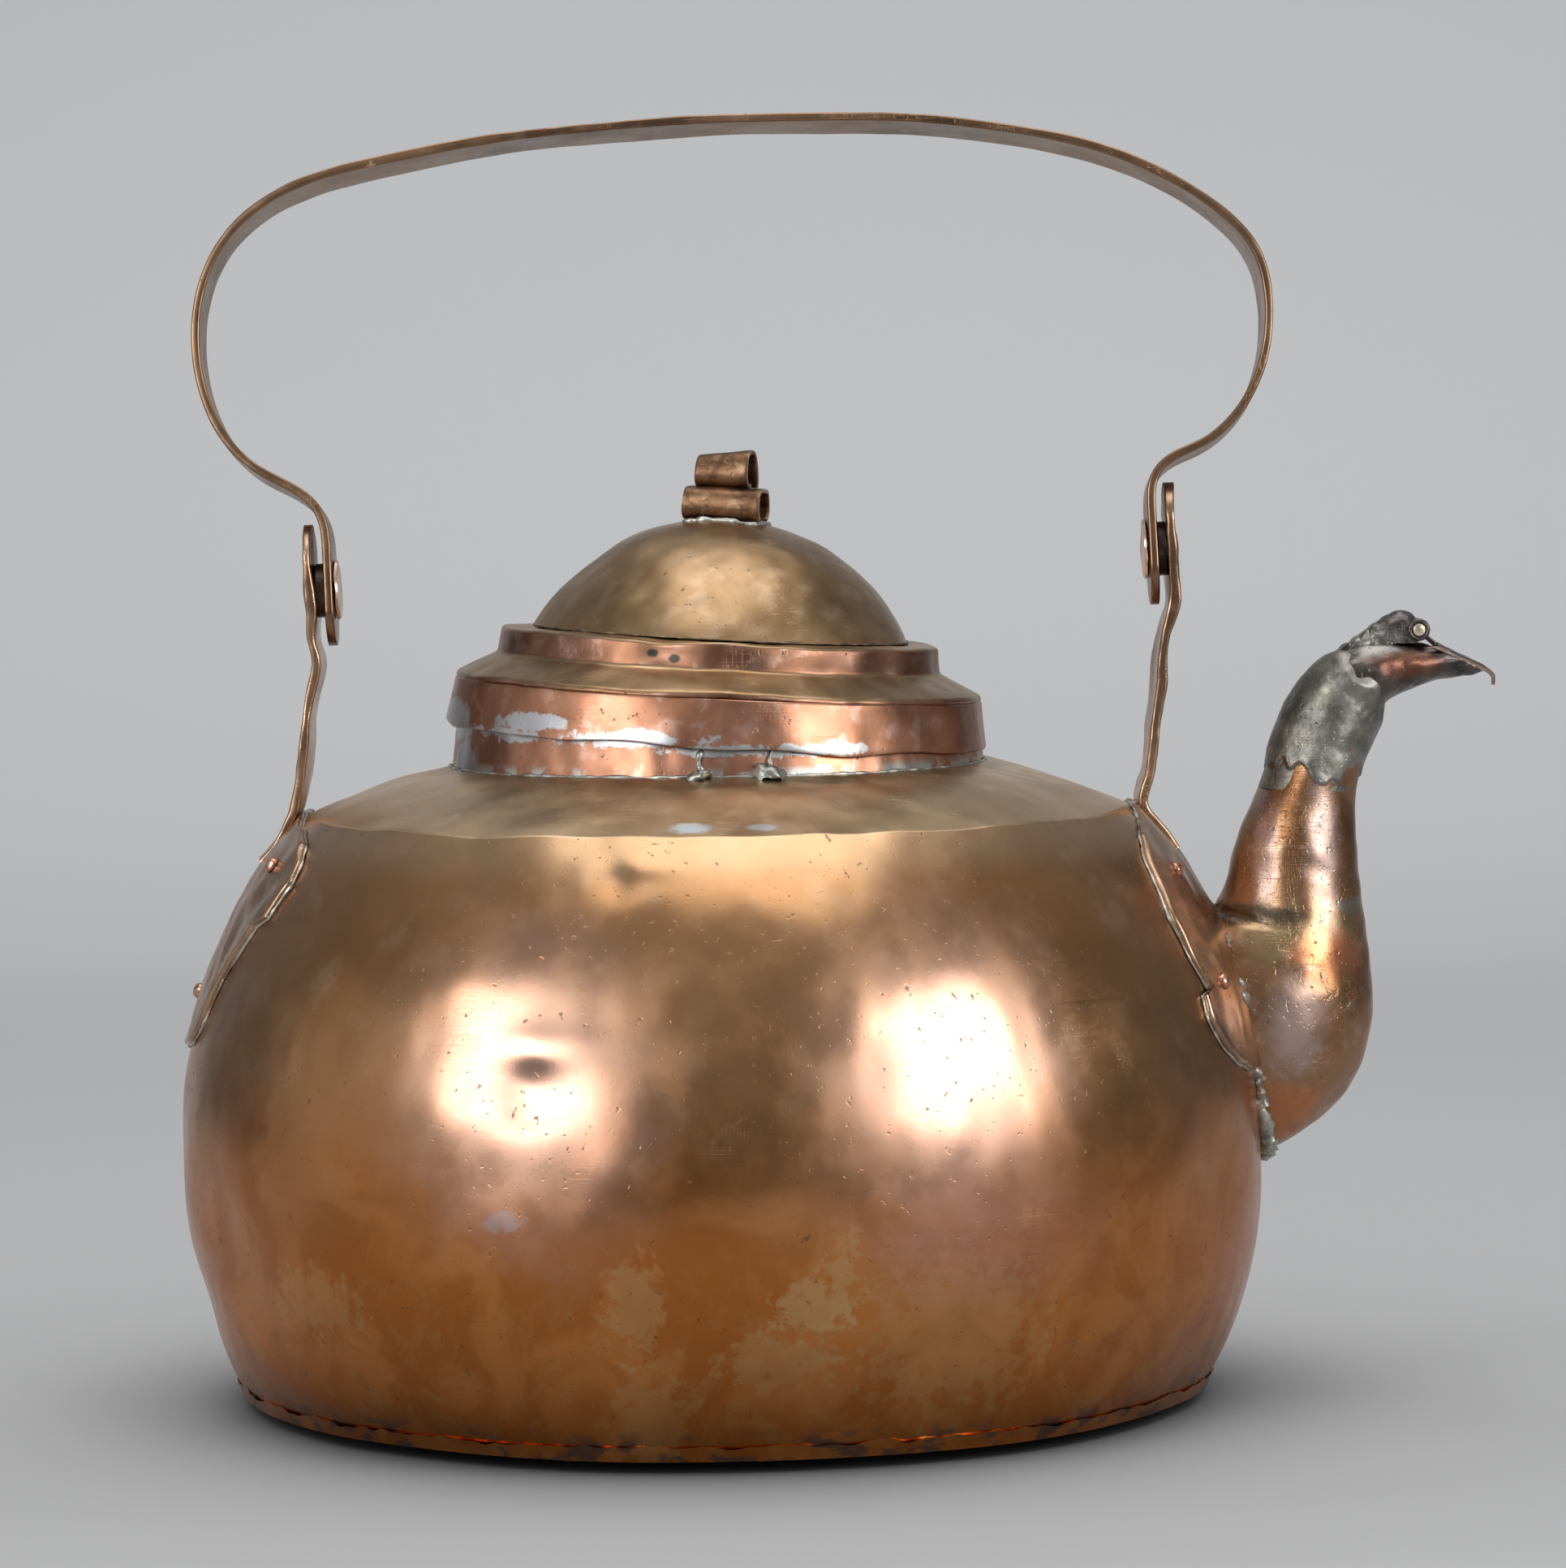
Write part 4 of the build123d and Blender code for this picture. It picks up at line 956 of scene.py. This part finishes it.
net = strip(path, out_way, bail_side, widths, thick, 0.55, 14)
net = net + inner_part[:, None, None] * 0.12 * jitter(net.reshape(-1, 3), 45, 175).reshape(net.shape)
piece("bail_strip", grid(net, close_columns=True, caps=True), "bail", metals["bail"],
    ["bail_handle"], 45)

# --- Spout -------------------------------------------------------------------------------------
stations = [
    ((132, 131), (138, 62), 26.0), ((133.5, 132), (155, 67.5), 27.5), ((134.8, 133), (170.8, 77.6), 27.5),
    ((136, 134), (179.2, 91.6), 26.0), ((137, 135), (182.2, 107.5), 24.0),
    ((138.3, 136), (181.0, 123), 21.5),
    ((140.8, 139.5), (178.6, 136.5), 19.4), ((144.3, 151.4), (177.7, 150), 17.2),
    ((148.3, 162.5), (177.8, 161.5), 15.2),
    ((152.6, 174), (179.4, 172.8), 13.7), ((157.0, 187), (184.2, 184.5), 12.8),
    ((163.4, 197.6), (186.0, 190.2), 12.2),
    ((172.6, 205), (190.5, 192.8), 11.6), ((184.0, 208.2), (195.0, 194.6), 10.0),
    ((195.2, 207.0), (200.6, 196.3), 7.8),
    ((204.5, 206.5), (206.0, 197.1), 5.0), ((211.0, 203.6), (210.6, 198.1), 2.9),
    ((215.2, 200.6), (214.8, 199.6), 0.7),
]
flat_stations = np.array([(*a, *b, w) for a, b, w in stations], float)
SPOUT_ROWS = 300
lines = spline(flat_stations, SPOUT_ROWS)


def spout_net(rows, around, grow, angles=None):
    """Net of the spout's skin at some rows, grown by an offset."""
    angle = np.linspace(0, 2 * np.pi, around, endpoint=False) if angles is None else angles
    here = lines[rows]
    inner = np.stack([here[:, 0], 0 * here[:, 0], here[:, 1]], -1)
    outer = np.stack([here[:, 2], 0 * here[:, 0], here[:, 3]], -1)
    middle = (inner + outer) / 2
    half = np.linalg.norm(outer - inner, axis=1) / 2
    way = (outer - inner) / 2 / half[:, None]
    a = np.maximum(half + grow, 0.3)[:, None, None] * np.cos(angle)[None, :, None] * way[:, None]
    b = np.maximum(here[:, 4] + grow, 0.3)[:, None, None] * np.sin(angle)[None, :,
        None] * np.array([0, 1.0, 0])
    return middle[:, None] + a + b


def crotch(p):
    """Fold where the bulb meets the neck, deepest at the body."""
    a, b = np.array([136.0, 134.6]), np.array([160.0, 128.0])
    q = p[..., [0, 2]]
    t = np.clip(((q - a) @ (b - a)) / ((b - a) @ (b - a)), 0, 1)
    gap = np.linalg.norm(q - a - t[..., None] * (b - a), axis=-1)
    return (1 - t) ** 1.1 * np.exp(-((gap / 1.5) ** 2)) * 1.3


def spout_relief(net, amount=1.0):
    flat = net.reshape(-1, 3)
    out = 0.24 * field(flat, 26, 181) + 0.08 * field(flat, 9, 182)
    out = amount * out - crotch(flat)
    out -= 0.8 * near(flat, (176, -16, 118), (12, 14, 5)) * amount
    centre = net.mean(1, keepdims=True)
    return net + unit(net - centre) * out.reshape(net.shape[:2])[..., None]


height_of = lines[:, 1]
tube_rows = np.where(height_of < 181)[0]
tube_rows = np.arange(0, tube_rows.max() + 1)
outer = spout_relief(spout_net(tube_rows, 150, 0))
inner = spout_net(tube_rows, 150, -sheet)


def outside_wall(p, by=-2.2):
    """True where a point is not deep inside the body."""
    radius = np.hypot(p[:, 0], p[:, 1])
    return radius > wall_radius(np.clip(p[:, 2] - edge_height, 0, crease_height)) + by


def trimmed(net):
    """Leaves out the faces that lie inside the body."""
    vertices, faces = net
    keep = outside_wall(vertices)
    return vertices, [f for f in faces if any(keep[k] for k in f)]


def loose_removed(net):
    vertices, faces = net
    used = sorted({k for f in faces for k in f})
    number = {k: n for n, k in enumerate(used)}
    return vertices[used], [[number[k] for k in f] for f in faces]


tube = joined(trimmed(grid(outer, close_columns=True)), trimmed(grid(inner[::-1], close_columns=True)))
piece("spout_tube_skin", loose_removed(tube), "kettle", metals["spout"], ["spout_tube"], 60)

# the seam of solder round the spout's foot: where the skin meets the wall
foot_path = []
dense_net = spout_net(np.arange(0, 210), 220, 0.2)
for column in range(220):
    p = dense_net[:, column]
    out = np.hypot(p[:, 0], p[:, 1]) - wall_radius(np.clip(p[:, 2] - edge_height, 0, crease_height))
    cross = np.where((out[:-1] < 0) & (out[1:] >= 0))[0]
    if len(cross):
        k = cross[-1]
        share = out[k] / (out[k] - out[k + 1])
        foot_path.append(p[k] + (p[k + 1] - p[k]) * share)
foot_path = np.array(foot_path)
order = np.argsort(np.arctan2(foot_path[:, 2] - 98, foot_path[:, 1]))
foot_path = foot_path[order]
foot_path = np.concatenate([foot_path, foot_path[:2]])
away = unit(foot_path * (1, 1, 0))
net = bead(foot_path + away * 0.4, 2.1, 191, 14)
net = net + 0.28 * jitter(net.reshape(-1, 3), 2.6, 193).reshape(net.shape)
piece("spout_foot_solder", grid(net, close_columns=True), "kettle", metals["solder"],
    ["spout_base_solder"], 70)

# tin sleeve: a coat over the joint of neck and head with a ragged lower edge
sleeve_rows = np.where((height_of > 167) & (np.arange(SPOUT_ROWS) < 262))[0]
angles = np.linspace(0, 2 * np.pi, 170, endpoint=False)
shell = spout_net(sleeve_rows, 170, 0.0, angles)
flat = shell.reshape(-1, 3)
ragged = 171.2 + 1.5 * field(flat * (1, 1, 0), 13, 201) + 0.7 * field(flat * (1, 1, 0), 4.5, 202)
ragged += 1.6 * step(flat[:, 0], 160, 153) - 1.8 * near(flat, (170, -12, 171), (7, 12, 30))
cover_low = step(flat[:, 2], ragged, ragged + 0.9)
cheek = (flat - (180, 0, 198.5)) @ np.array([0.72, 0, 0.69])
cheek_edge = 0.8 * field(flat, 8, 203)
cover_high = 1 - step(cheek, cheek_edge - 3.0, cheek_edge + 0.6)
coat = (0.72 + 0.1 * field(flat, 8, 204) + 0.03 * field(flat, 2.6,
    205)) * cover_low * cover_high - 0.28 * (1 - cover_low * cover_high)
around = unit(shell - shell.mean(1, keepdims=True)).reshape(-1, 3)
net = (flat + around * coat[:, None]).reshape(shell.shape)
piece("spout_tin_coat", grid(net, close_columns=True), "kettle", metals["tin"],
    ["spout_tin_sleeve"], 60)

# head: closed skin up to the mouth, then an open trough under the flap
head_rows = np.arange(int(np.where(height_of > 181)[0][0]), SPOUT_ROWS)
head_outer = spout_net(head_rows, 120, 0)
head_inner = spout_net(head_rows, 120, -1.1)
flat = head_outer.reshape(-1, 3)
wave = (0.16 * field(flat, 11, 211) + 0.07 * field(flat, 4, 212)).reshape(head_outer.shape[:2])
head_outer = head_outer + unit(head_outer - head_outer.mean(1, keepdims=True)) * wave[..., None]
mouth_line = [(199.4, 206.6), (204.4, 204.3), (211.4, 200.9), (214.6, 199.0)]
mouth_x = np.array([x for x, z in mouth_line])
mouth_z = np.array([z for x, z in mouth_line]) - 0.95


def under_mouth(net):
    """Lowers everything above the mouth's edge onto it."""
    limit = np.interp(net[..., 0], np.concatenate([[150, 196.4, 196.8], mouth_x]),
        np.concatenate([[260, 260, mouth_z[0] + 1.2], mouth_z]))
    low = net.copy()
    low[..., 2] = np.minimum(net[..., 2], limit)
    return low, net[..., 2] > limit + 0.01


outer_low, outer_cut = under_mouth(head_outer)
inner_low, inner_cut = under_mouth(head_inner)


def open_grid(net, cut, flip=False):
    vertices, faces = grid(net, close_columns=True)
    gone = cut.reshape(-1)
    faces = [f for f in faces if not all(gone[k] for k in f)]
    return vertices, [f[::-1] for f in faces] if flip else faces


head = joined(open_grid(outer_low, outer_cut), open_grid(inner_low, inner_cut, True))
vertices, faces = loose_removed(head)
piece("bird_head_skin", (vertices, faces), "kettle", metals["head"], ["spout_head"], 60)
lip = np.array([(x, y, z) for x, z, y in [(197, 205.6, 7.0), (199.4, 205.6, 6.2), (202, 204.4, 5.4),
    (204.4, 203.3, 4.7), (208, 201.6, 3.7), (211.4, 199.9, 2.6)]])
nets = []
for sign in (-1, 1):
    path = spline(lip * (1, sign, 1), 50)
    nets.append(grid(bead(path, 0.5, 215 + sign, 8), close_columns=True))
piece("beak_lips", joined(*nets), "kettle", metals["head"], (), 60)

# crest: arched ridge with beads along its rear edges and the outer knuckles of the hinge
ridge_top = spline([(171.5, 204.2), (176, 207.2), (180.5, 210.6), (186.5, 214.6), (190.5, 216.1),
    (193.8, 214.8), (195.3, 212.4)], 110)
ridge_low = spline([(172, 203.0), (178, 204.2), (184, 206.2), (189, 207.0), (192.5, 207.0),
    (194.6, 207.8)], 110)
across = np.linspace(-np.pi / 2, np.pi / 2, 41)
half = np.interp(ridge_top[:, 0], [171, 176, 186, 192, 198], [4.0, 5.6, 6.1, 6.2, 5.4])
rows = []
for k in range(110):
    x, z = ridge_top[k]
    low = ridge_low[k, 1]
    y = half[k] * np.sign(np.sin(across)) * np.abs(np.sin(across)) ** 0.8
    lift = np.abs(np.cos(across)) ** 0.62
    bump = 0.0
    if 173.5 < x < 184:
        bump = 0.55 * abs(math.sin((x - 173.5) / 10.5 * 4 * math.pi)) ** 0.7
    edge_bump = bump * np.exp(-(((np.abs(across) - 0.62) / 0.3) ** 2))
    line = np.stack([np.full(41, x), y * (1 + 0.05 * edge_bump), low + (z - low) * lift + edge_bump], -1)
    rows.append(line)
net = np.array(rows)
net = net + 0.1 * jitter(net.reshape(-1, 3), 4, 221).reshape(net.shape)
ridge = grid(net)
knuckles = []
pin = np.array([195.0, 0, 210.7])
for sign in (-1, 1):
    ring = rounded([(1.95, 3.05), (1.95, 6.6), (2.5, 6.9), (3.1, 6.5), (3.1, 3.05)], 0.25)
    turn = (frame_from((0, sign, 0), (1, 0, 0)), pin)
    knuckles.append(grid(turned(ring, 48, turn), close_rows=True, close_columns=True))
piece("crest_skin", joined(ridge, *knuckles), "kettle", metals["head"], ["crest_ridge"], 60)
nets = []
for sign in (-1, 1):
    turn = (frame_from((0, sign, 0), (1, 0, 0)), pin)
    eye_end = np.array([(0.001, 7.35), (1.0, 7.3), (1.6, 7.1), (1.9, 6.6), (1.9, 0.0)])
    nets.append(grid(turned(eye_end, 40, turn), close_columns=True))
piece("hinge_pin_ends", joined(*nets), "kettle", metals["brass"], ["hinge_pin"])

# flap: thin upper beak with a hooked tip, which swings on the pin
flap_line = spline([(200.4, 206.5), (202.0, 205.6), (204.4, 204.3), (208, 202.6), (211.4, 200.9),
    (214.6, 199.0), (216.15, 197.2), (216.15, 194.9)], 90)
half = np.interp(np.linspace(0, 1, 90), [0, 0.3, 0.62, 0.8, 0.92, 1], [5.9, 4.9, 2.9, 1.7, 1.2, 0.35])
tangent = unit(np.gradient(flap_line, axis=0))
rows = []
for k in range(90):
    path_y = np.linspace(-1, 1, 15)
    droop = -0.9 * (np.abs(path_y) ** 2.2) * min(1, half[k] / 4)
    normal = np.array([-tangent[k, 1], tangent[k, 0]])
    thick = 0.5 if k < 80 else 0.35
    top = [(flap_line[k, 0] + normal[0] * (thick + 0.2 + d), y * half[k], flap_line[k, 1] + normal[1]
        * (thick + 0.2 + d)) for y, d in zip(path_y, droop)]
    low = [(flap_line[k, 0] + normal[0] * (-thick + d * 0.4), y * half[k], flap_line[k, 1] + normal[1]
        * (-thick + d * 0.4)) for y, d in zip(path_y[::-1], droop[::-1])]
    rows.append(top + low)
net = np.array(rows)
net = net + 0.05 * jitter(net.reshape(-1, 3), 4, 231).reshape(net.shape)
flap = grid(net, close_columns=True, caps=True)
tongue = spline([(196.6, 209.4), (198.2, 208.0), (200.0, 206.6)], 12)
tangent = unit(np.gradient(tongue, axis=0))
path = np.stack([tongue[:, 0], 0 * tongue[:, 0], tongue[:, 1]], -1)
thick_way = np.stack([-tangent[:, 1], 0 * tangent[:, 0], tangent[:, 0]], -1)
tongue_net = grid(strip(path, thick_way, np.array([0, 1.0, 0]), 2.65, 0.6, 0.3, 6), close_columns=True,
    caps=True)
ring = rounded([(2.0, -2.65), (3.0, -2.65), (3.0, 2.65), (2.0, 2.65)], 0.2)
turn = (frame_from((0, 1, 0), (1, 0, 0)), pin)
barrel = grid(turned(ring, 48, turn), close_rows=True, close_columns=True)
piece("beak_flap_skin", joined(flap, tongue_net, barrel), "flap", metals["head"],
    ["beak_flap"], 60)

# --- Solder on the shoulder --------------------------------------------------------------------
angle = np.linspace(0, 2 * np.pi, 420)
ring = np.stack([(neck_radius + 0.3) * np.cos(angle), (neck_radius + 0.3) * np.sin(angle),
    np.full(420, shoulder_top - 0.1)], -1)
net = bead(ring, 0.45, 241, 8)
nets = [grid(net, close_columns=True)]
for x, size, up in ((-4.0, 3.4, 1.6), (15.0, 4.0, 2.6)):
    y = -math.sqrt((neck_radius + 1.5) ** 2 - x**2)
    lump = np.array([(0.001, 1.0), (0.35, 0.93), (0.7, 0.68), (0.92, 0.35), (1.0, 0.0), (0.9, -0.3)])
    net = turned(lump, 30, (np.eye(3), np.zeros(3)))
    net = net * (size, 0.6 * size, up) + (x, y, shoulder_top)
    net = net + 0.5 * jitter(net.reshape(-1, 3), 5,
        243).reshape(net.shape) + 0.25 * jitter(net.reshape(-1, 3), 2, 246).reshape(net.shape)
    nets.append(grid(net, close_columns=True))
    rise = np.linspace(shoulder_top, shoulder_top + 7.5, 16)
    path = np.stack([x + 0.4 * np.sin(rise), np.full(16, y + 1.3) + (rise - shoulder_top) * 0.1, rise], -1)
    nets.append(grid(bead(path, 0.85, 249, 8, np.array([1.0, 0, 0])), close_columns=True))
piece("neck_solder", joined(*nets), "kettle", metals["solder"], (), 70)

# --- Studio ------------------------------------------------------------------------------------
scene = bpy.context.scene
# The paper runs flat to the rear, then curves up into a wall. Lengths here are in metres.
PAPER_FRONT, PAPER_FLAT_END, PAPER_CURVE, PAPER_TOP, PAPER_HALF_WIDTH = -0.85, 1.3, 0.9, 3.4, 1.2
floor_line = [(PAPER_FRONT, 0), (0.2, 0), (PAPER_FLAT_END, 0)]
floor_line += [
    (PAPER_FLAT_END + PAPER_CURVE * math.sin(a), PAPER_CURVE - PAPER_CURVE * math.cos(a))
    for a in np.linspace(0.08, np.pi / 2, 18)
]
floor_line += [(PAPER_FLAT_END + PAPER_CURVE, PAPER_TOP)]
paper_columns = np.linspace(-PAPER_HALF_WIDTH, PAPER_HALF_WIDTH, 9)
floor_net = np.array([[(x, y, z) for x in paper_columns] for y, z in floor_line])
vertices, faces = grid(floor_net)
mesh = bpy.data.meshes.new("paper_sweep")
mesh.from_pydata(vertices.tolist(), [], faces)
mesh.shade_smooth()
paper = Metal("studio_paper", 0.75)
paper.shader.inputs["Metallic"].default_value = 0.0
paper.shader.inputs["Specular IOR Level"].default_value = 0.25
# painted light and shade on the paper: light grey in front, painted shadow under and behind the kettle,
# light again up the wall
depth = paper.axis("Y")
paper_light_and_shade = paper.mix(paper.band(depth, -0.62, -0.12), (0.80, 0.80, 0.795), (0.55, 0.55, 0.55))
paper_light_and_shade = paper.mix(paper.band(depth, 0.9, 2.15), paper_light_and_shade, (0.86, 0.86, 0.86))
paper.set(paper.shader.inputs["Base Color"], paper_light_and_shade)
mesh.materials.append(paper.made)
floor = bpy.data.objects.new("paper_sweep", mesh)
scene.collection.objects.link(floor)


def softbox(name, way, distance, width, height, power, aim=(0, 0, 0.1)):
    """Area light on the way out from a point that it faces: metres and watts."""
    lamp = bpy.data.lights.new(name, "AREA")
    lamp.shape = "RECTANGLE"
    lamp.size = width
    lamp.size_y = height
    lamp.energy = power
    made = bpy.data.objects.new(name, lamp)
    scene.collection.objects.link(made)
    away = unit(np.array(way, float))
    turn = frame_from(away, np.cross((0, 0, 1), away))
    place = np.array(aim) + away * distance
    matrix = Matrix([[*turn[k], place[k]] for k in range(3)] + [[0, 0, 0, 1]])
    made.matrix_world = matrix
    return made


# The side softboxes and the card light only the kettle. The top one and the world light the paper too.
kettle_only = bpy.data.collections.new("kettle_only")
for shown in list(scene.objects):
    if shown.type == "MESH" and shown.name != "paper_sweep":
        kettle_only.objects.link(shown)

left = softbox("left_softbox", (-0.635, -0.711, 0.34), 2.0, 1.1, 0.82, 17)
right = softbox("right_softbox", (0.745, -0.605, 0.33), 2.0, 1.1, 0.87, 21)
card = softbox("left_card", (-0.98, -0.15, 0.1), 2.0, 1.6, 1.2, 2.4)
softbox("top_softbox", (0.05, 0.0, 1.0), 2.2, 2.3, 2.0, 33)
for lamp in (left, right, card):
    lamp.light_linking.receiver_collection = kettle_only

world = bpy.data.worlds.new("studio")
scene.world = world
world.use_nodes = True
tree = world.node_tree
back = tree.nodes["Background"]
coordinate = tree.nodes.new("ShaderNodeTexCoord")
parts = tree.nodes.new("ShaderNodeSeparateXYZ")
ramp = tree.nodes.new("ShaderNodeMapRange")
tree.links.new(coordinate.outputs["Generated"], parts.inputs[0])
tree.links.new(parts.outputs["Z"], ramp.inputs[0])
# from min and from max of the height, then the strength low down and high up
for socket, value in zip(list(ramp.inputs)[1:5], (-0.15, 0.9, 0.12, 0.42)):
    socket.default_value = value
tree.links.new(ramp.outputs[0], back.inputs["Strength"])
back.inputs["Color"].default_value = (0.97, 0.985, 1.02, 1)

CAMERA_PLACE, CAMERA_PITCH, CAMERA_ROLL = (0.0181, -1.614, 0.2657), -3.397, -0.77
lens = bpy.data.cameras.new("camera")
lens.lens = 133.2
lens.sensor_width = 36
camera = bpy.data.objects.new("camera", lens)
scene.collection.objects.link(camera)
camera.matrix_world = (
    Matrix.Translation(CAMERA_PLACE)
    @ Matrix.Rotation(math.radians(90 + CAMERA_PITCH), 4, "X")
    @ Matrix.Rotation(math.radians(CAMERA_ROLL), 4, "Z")
)
scene.camera = camera
scene.view_settings.view_transform = "Standard"
scene.cycles.caustics_reflective = False  # no bright flecks under the polished copper
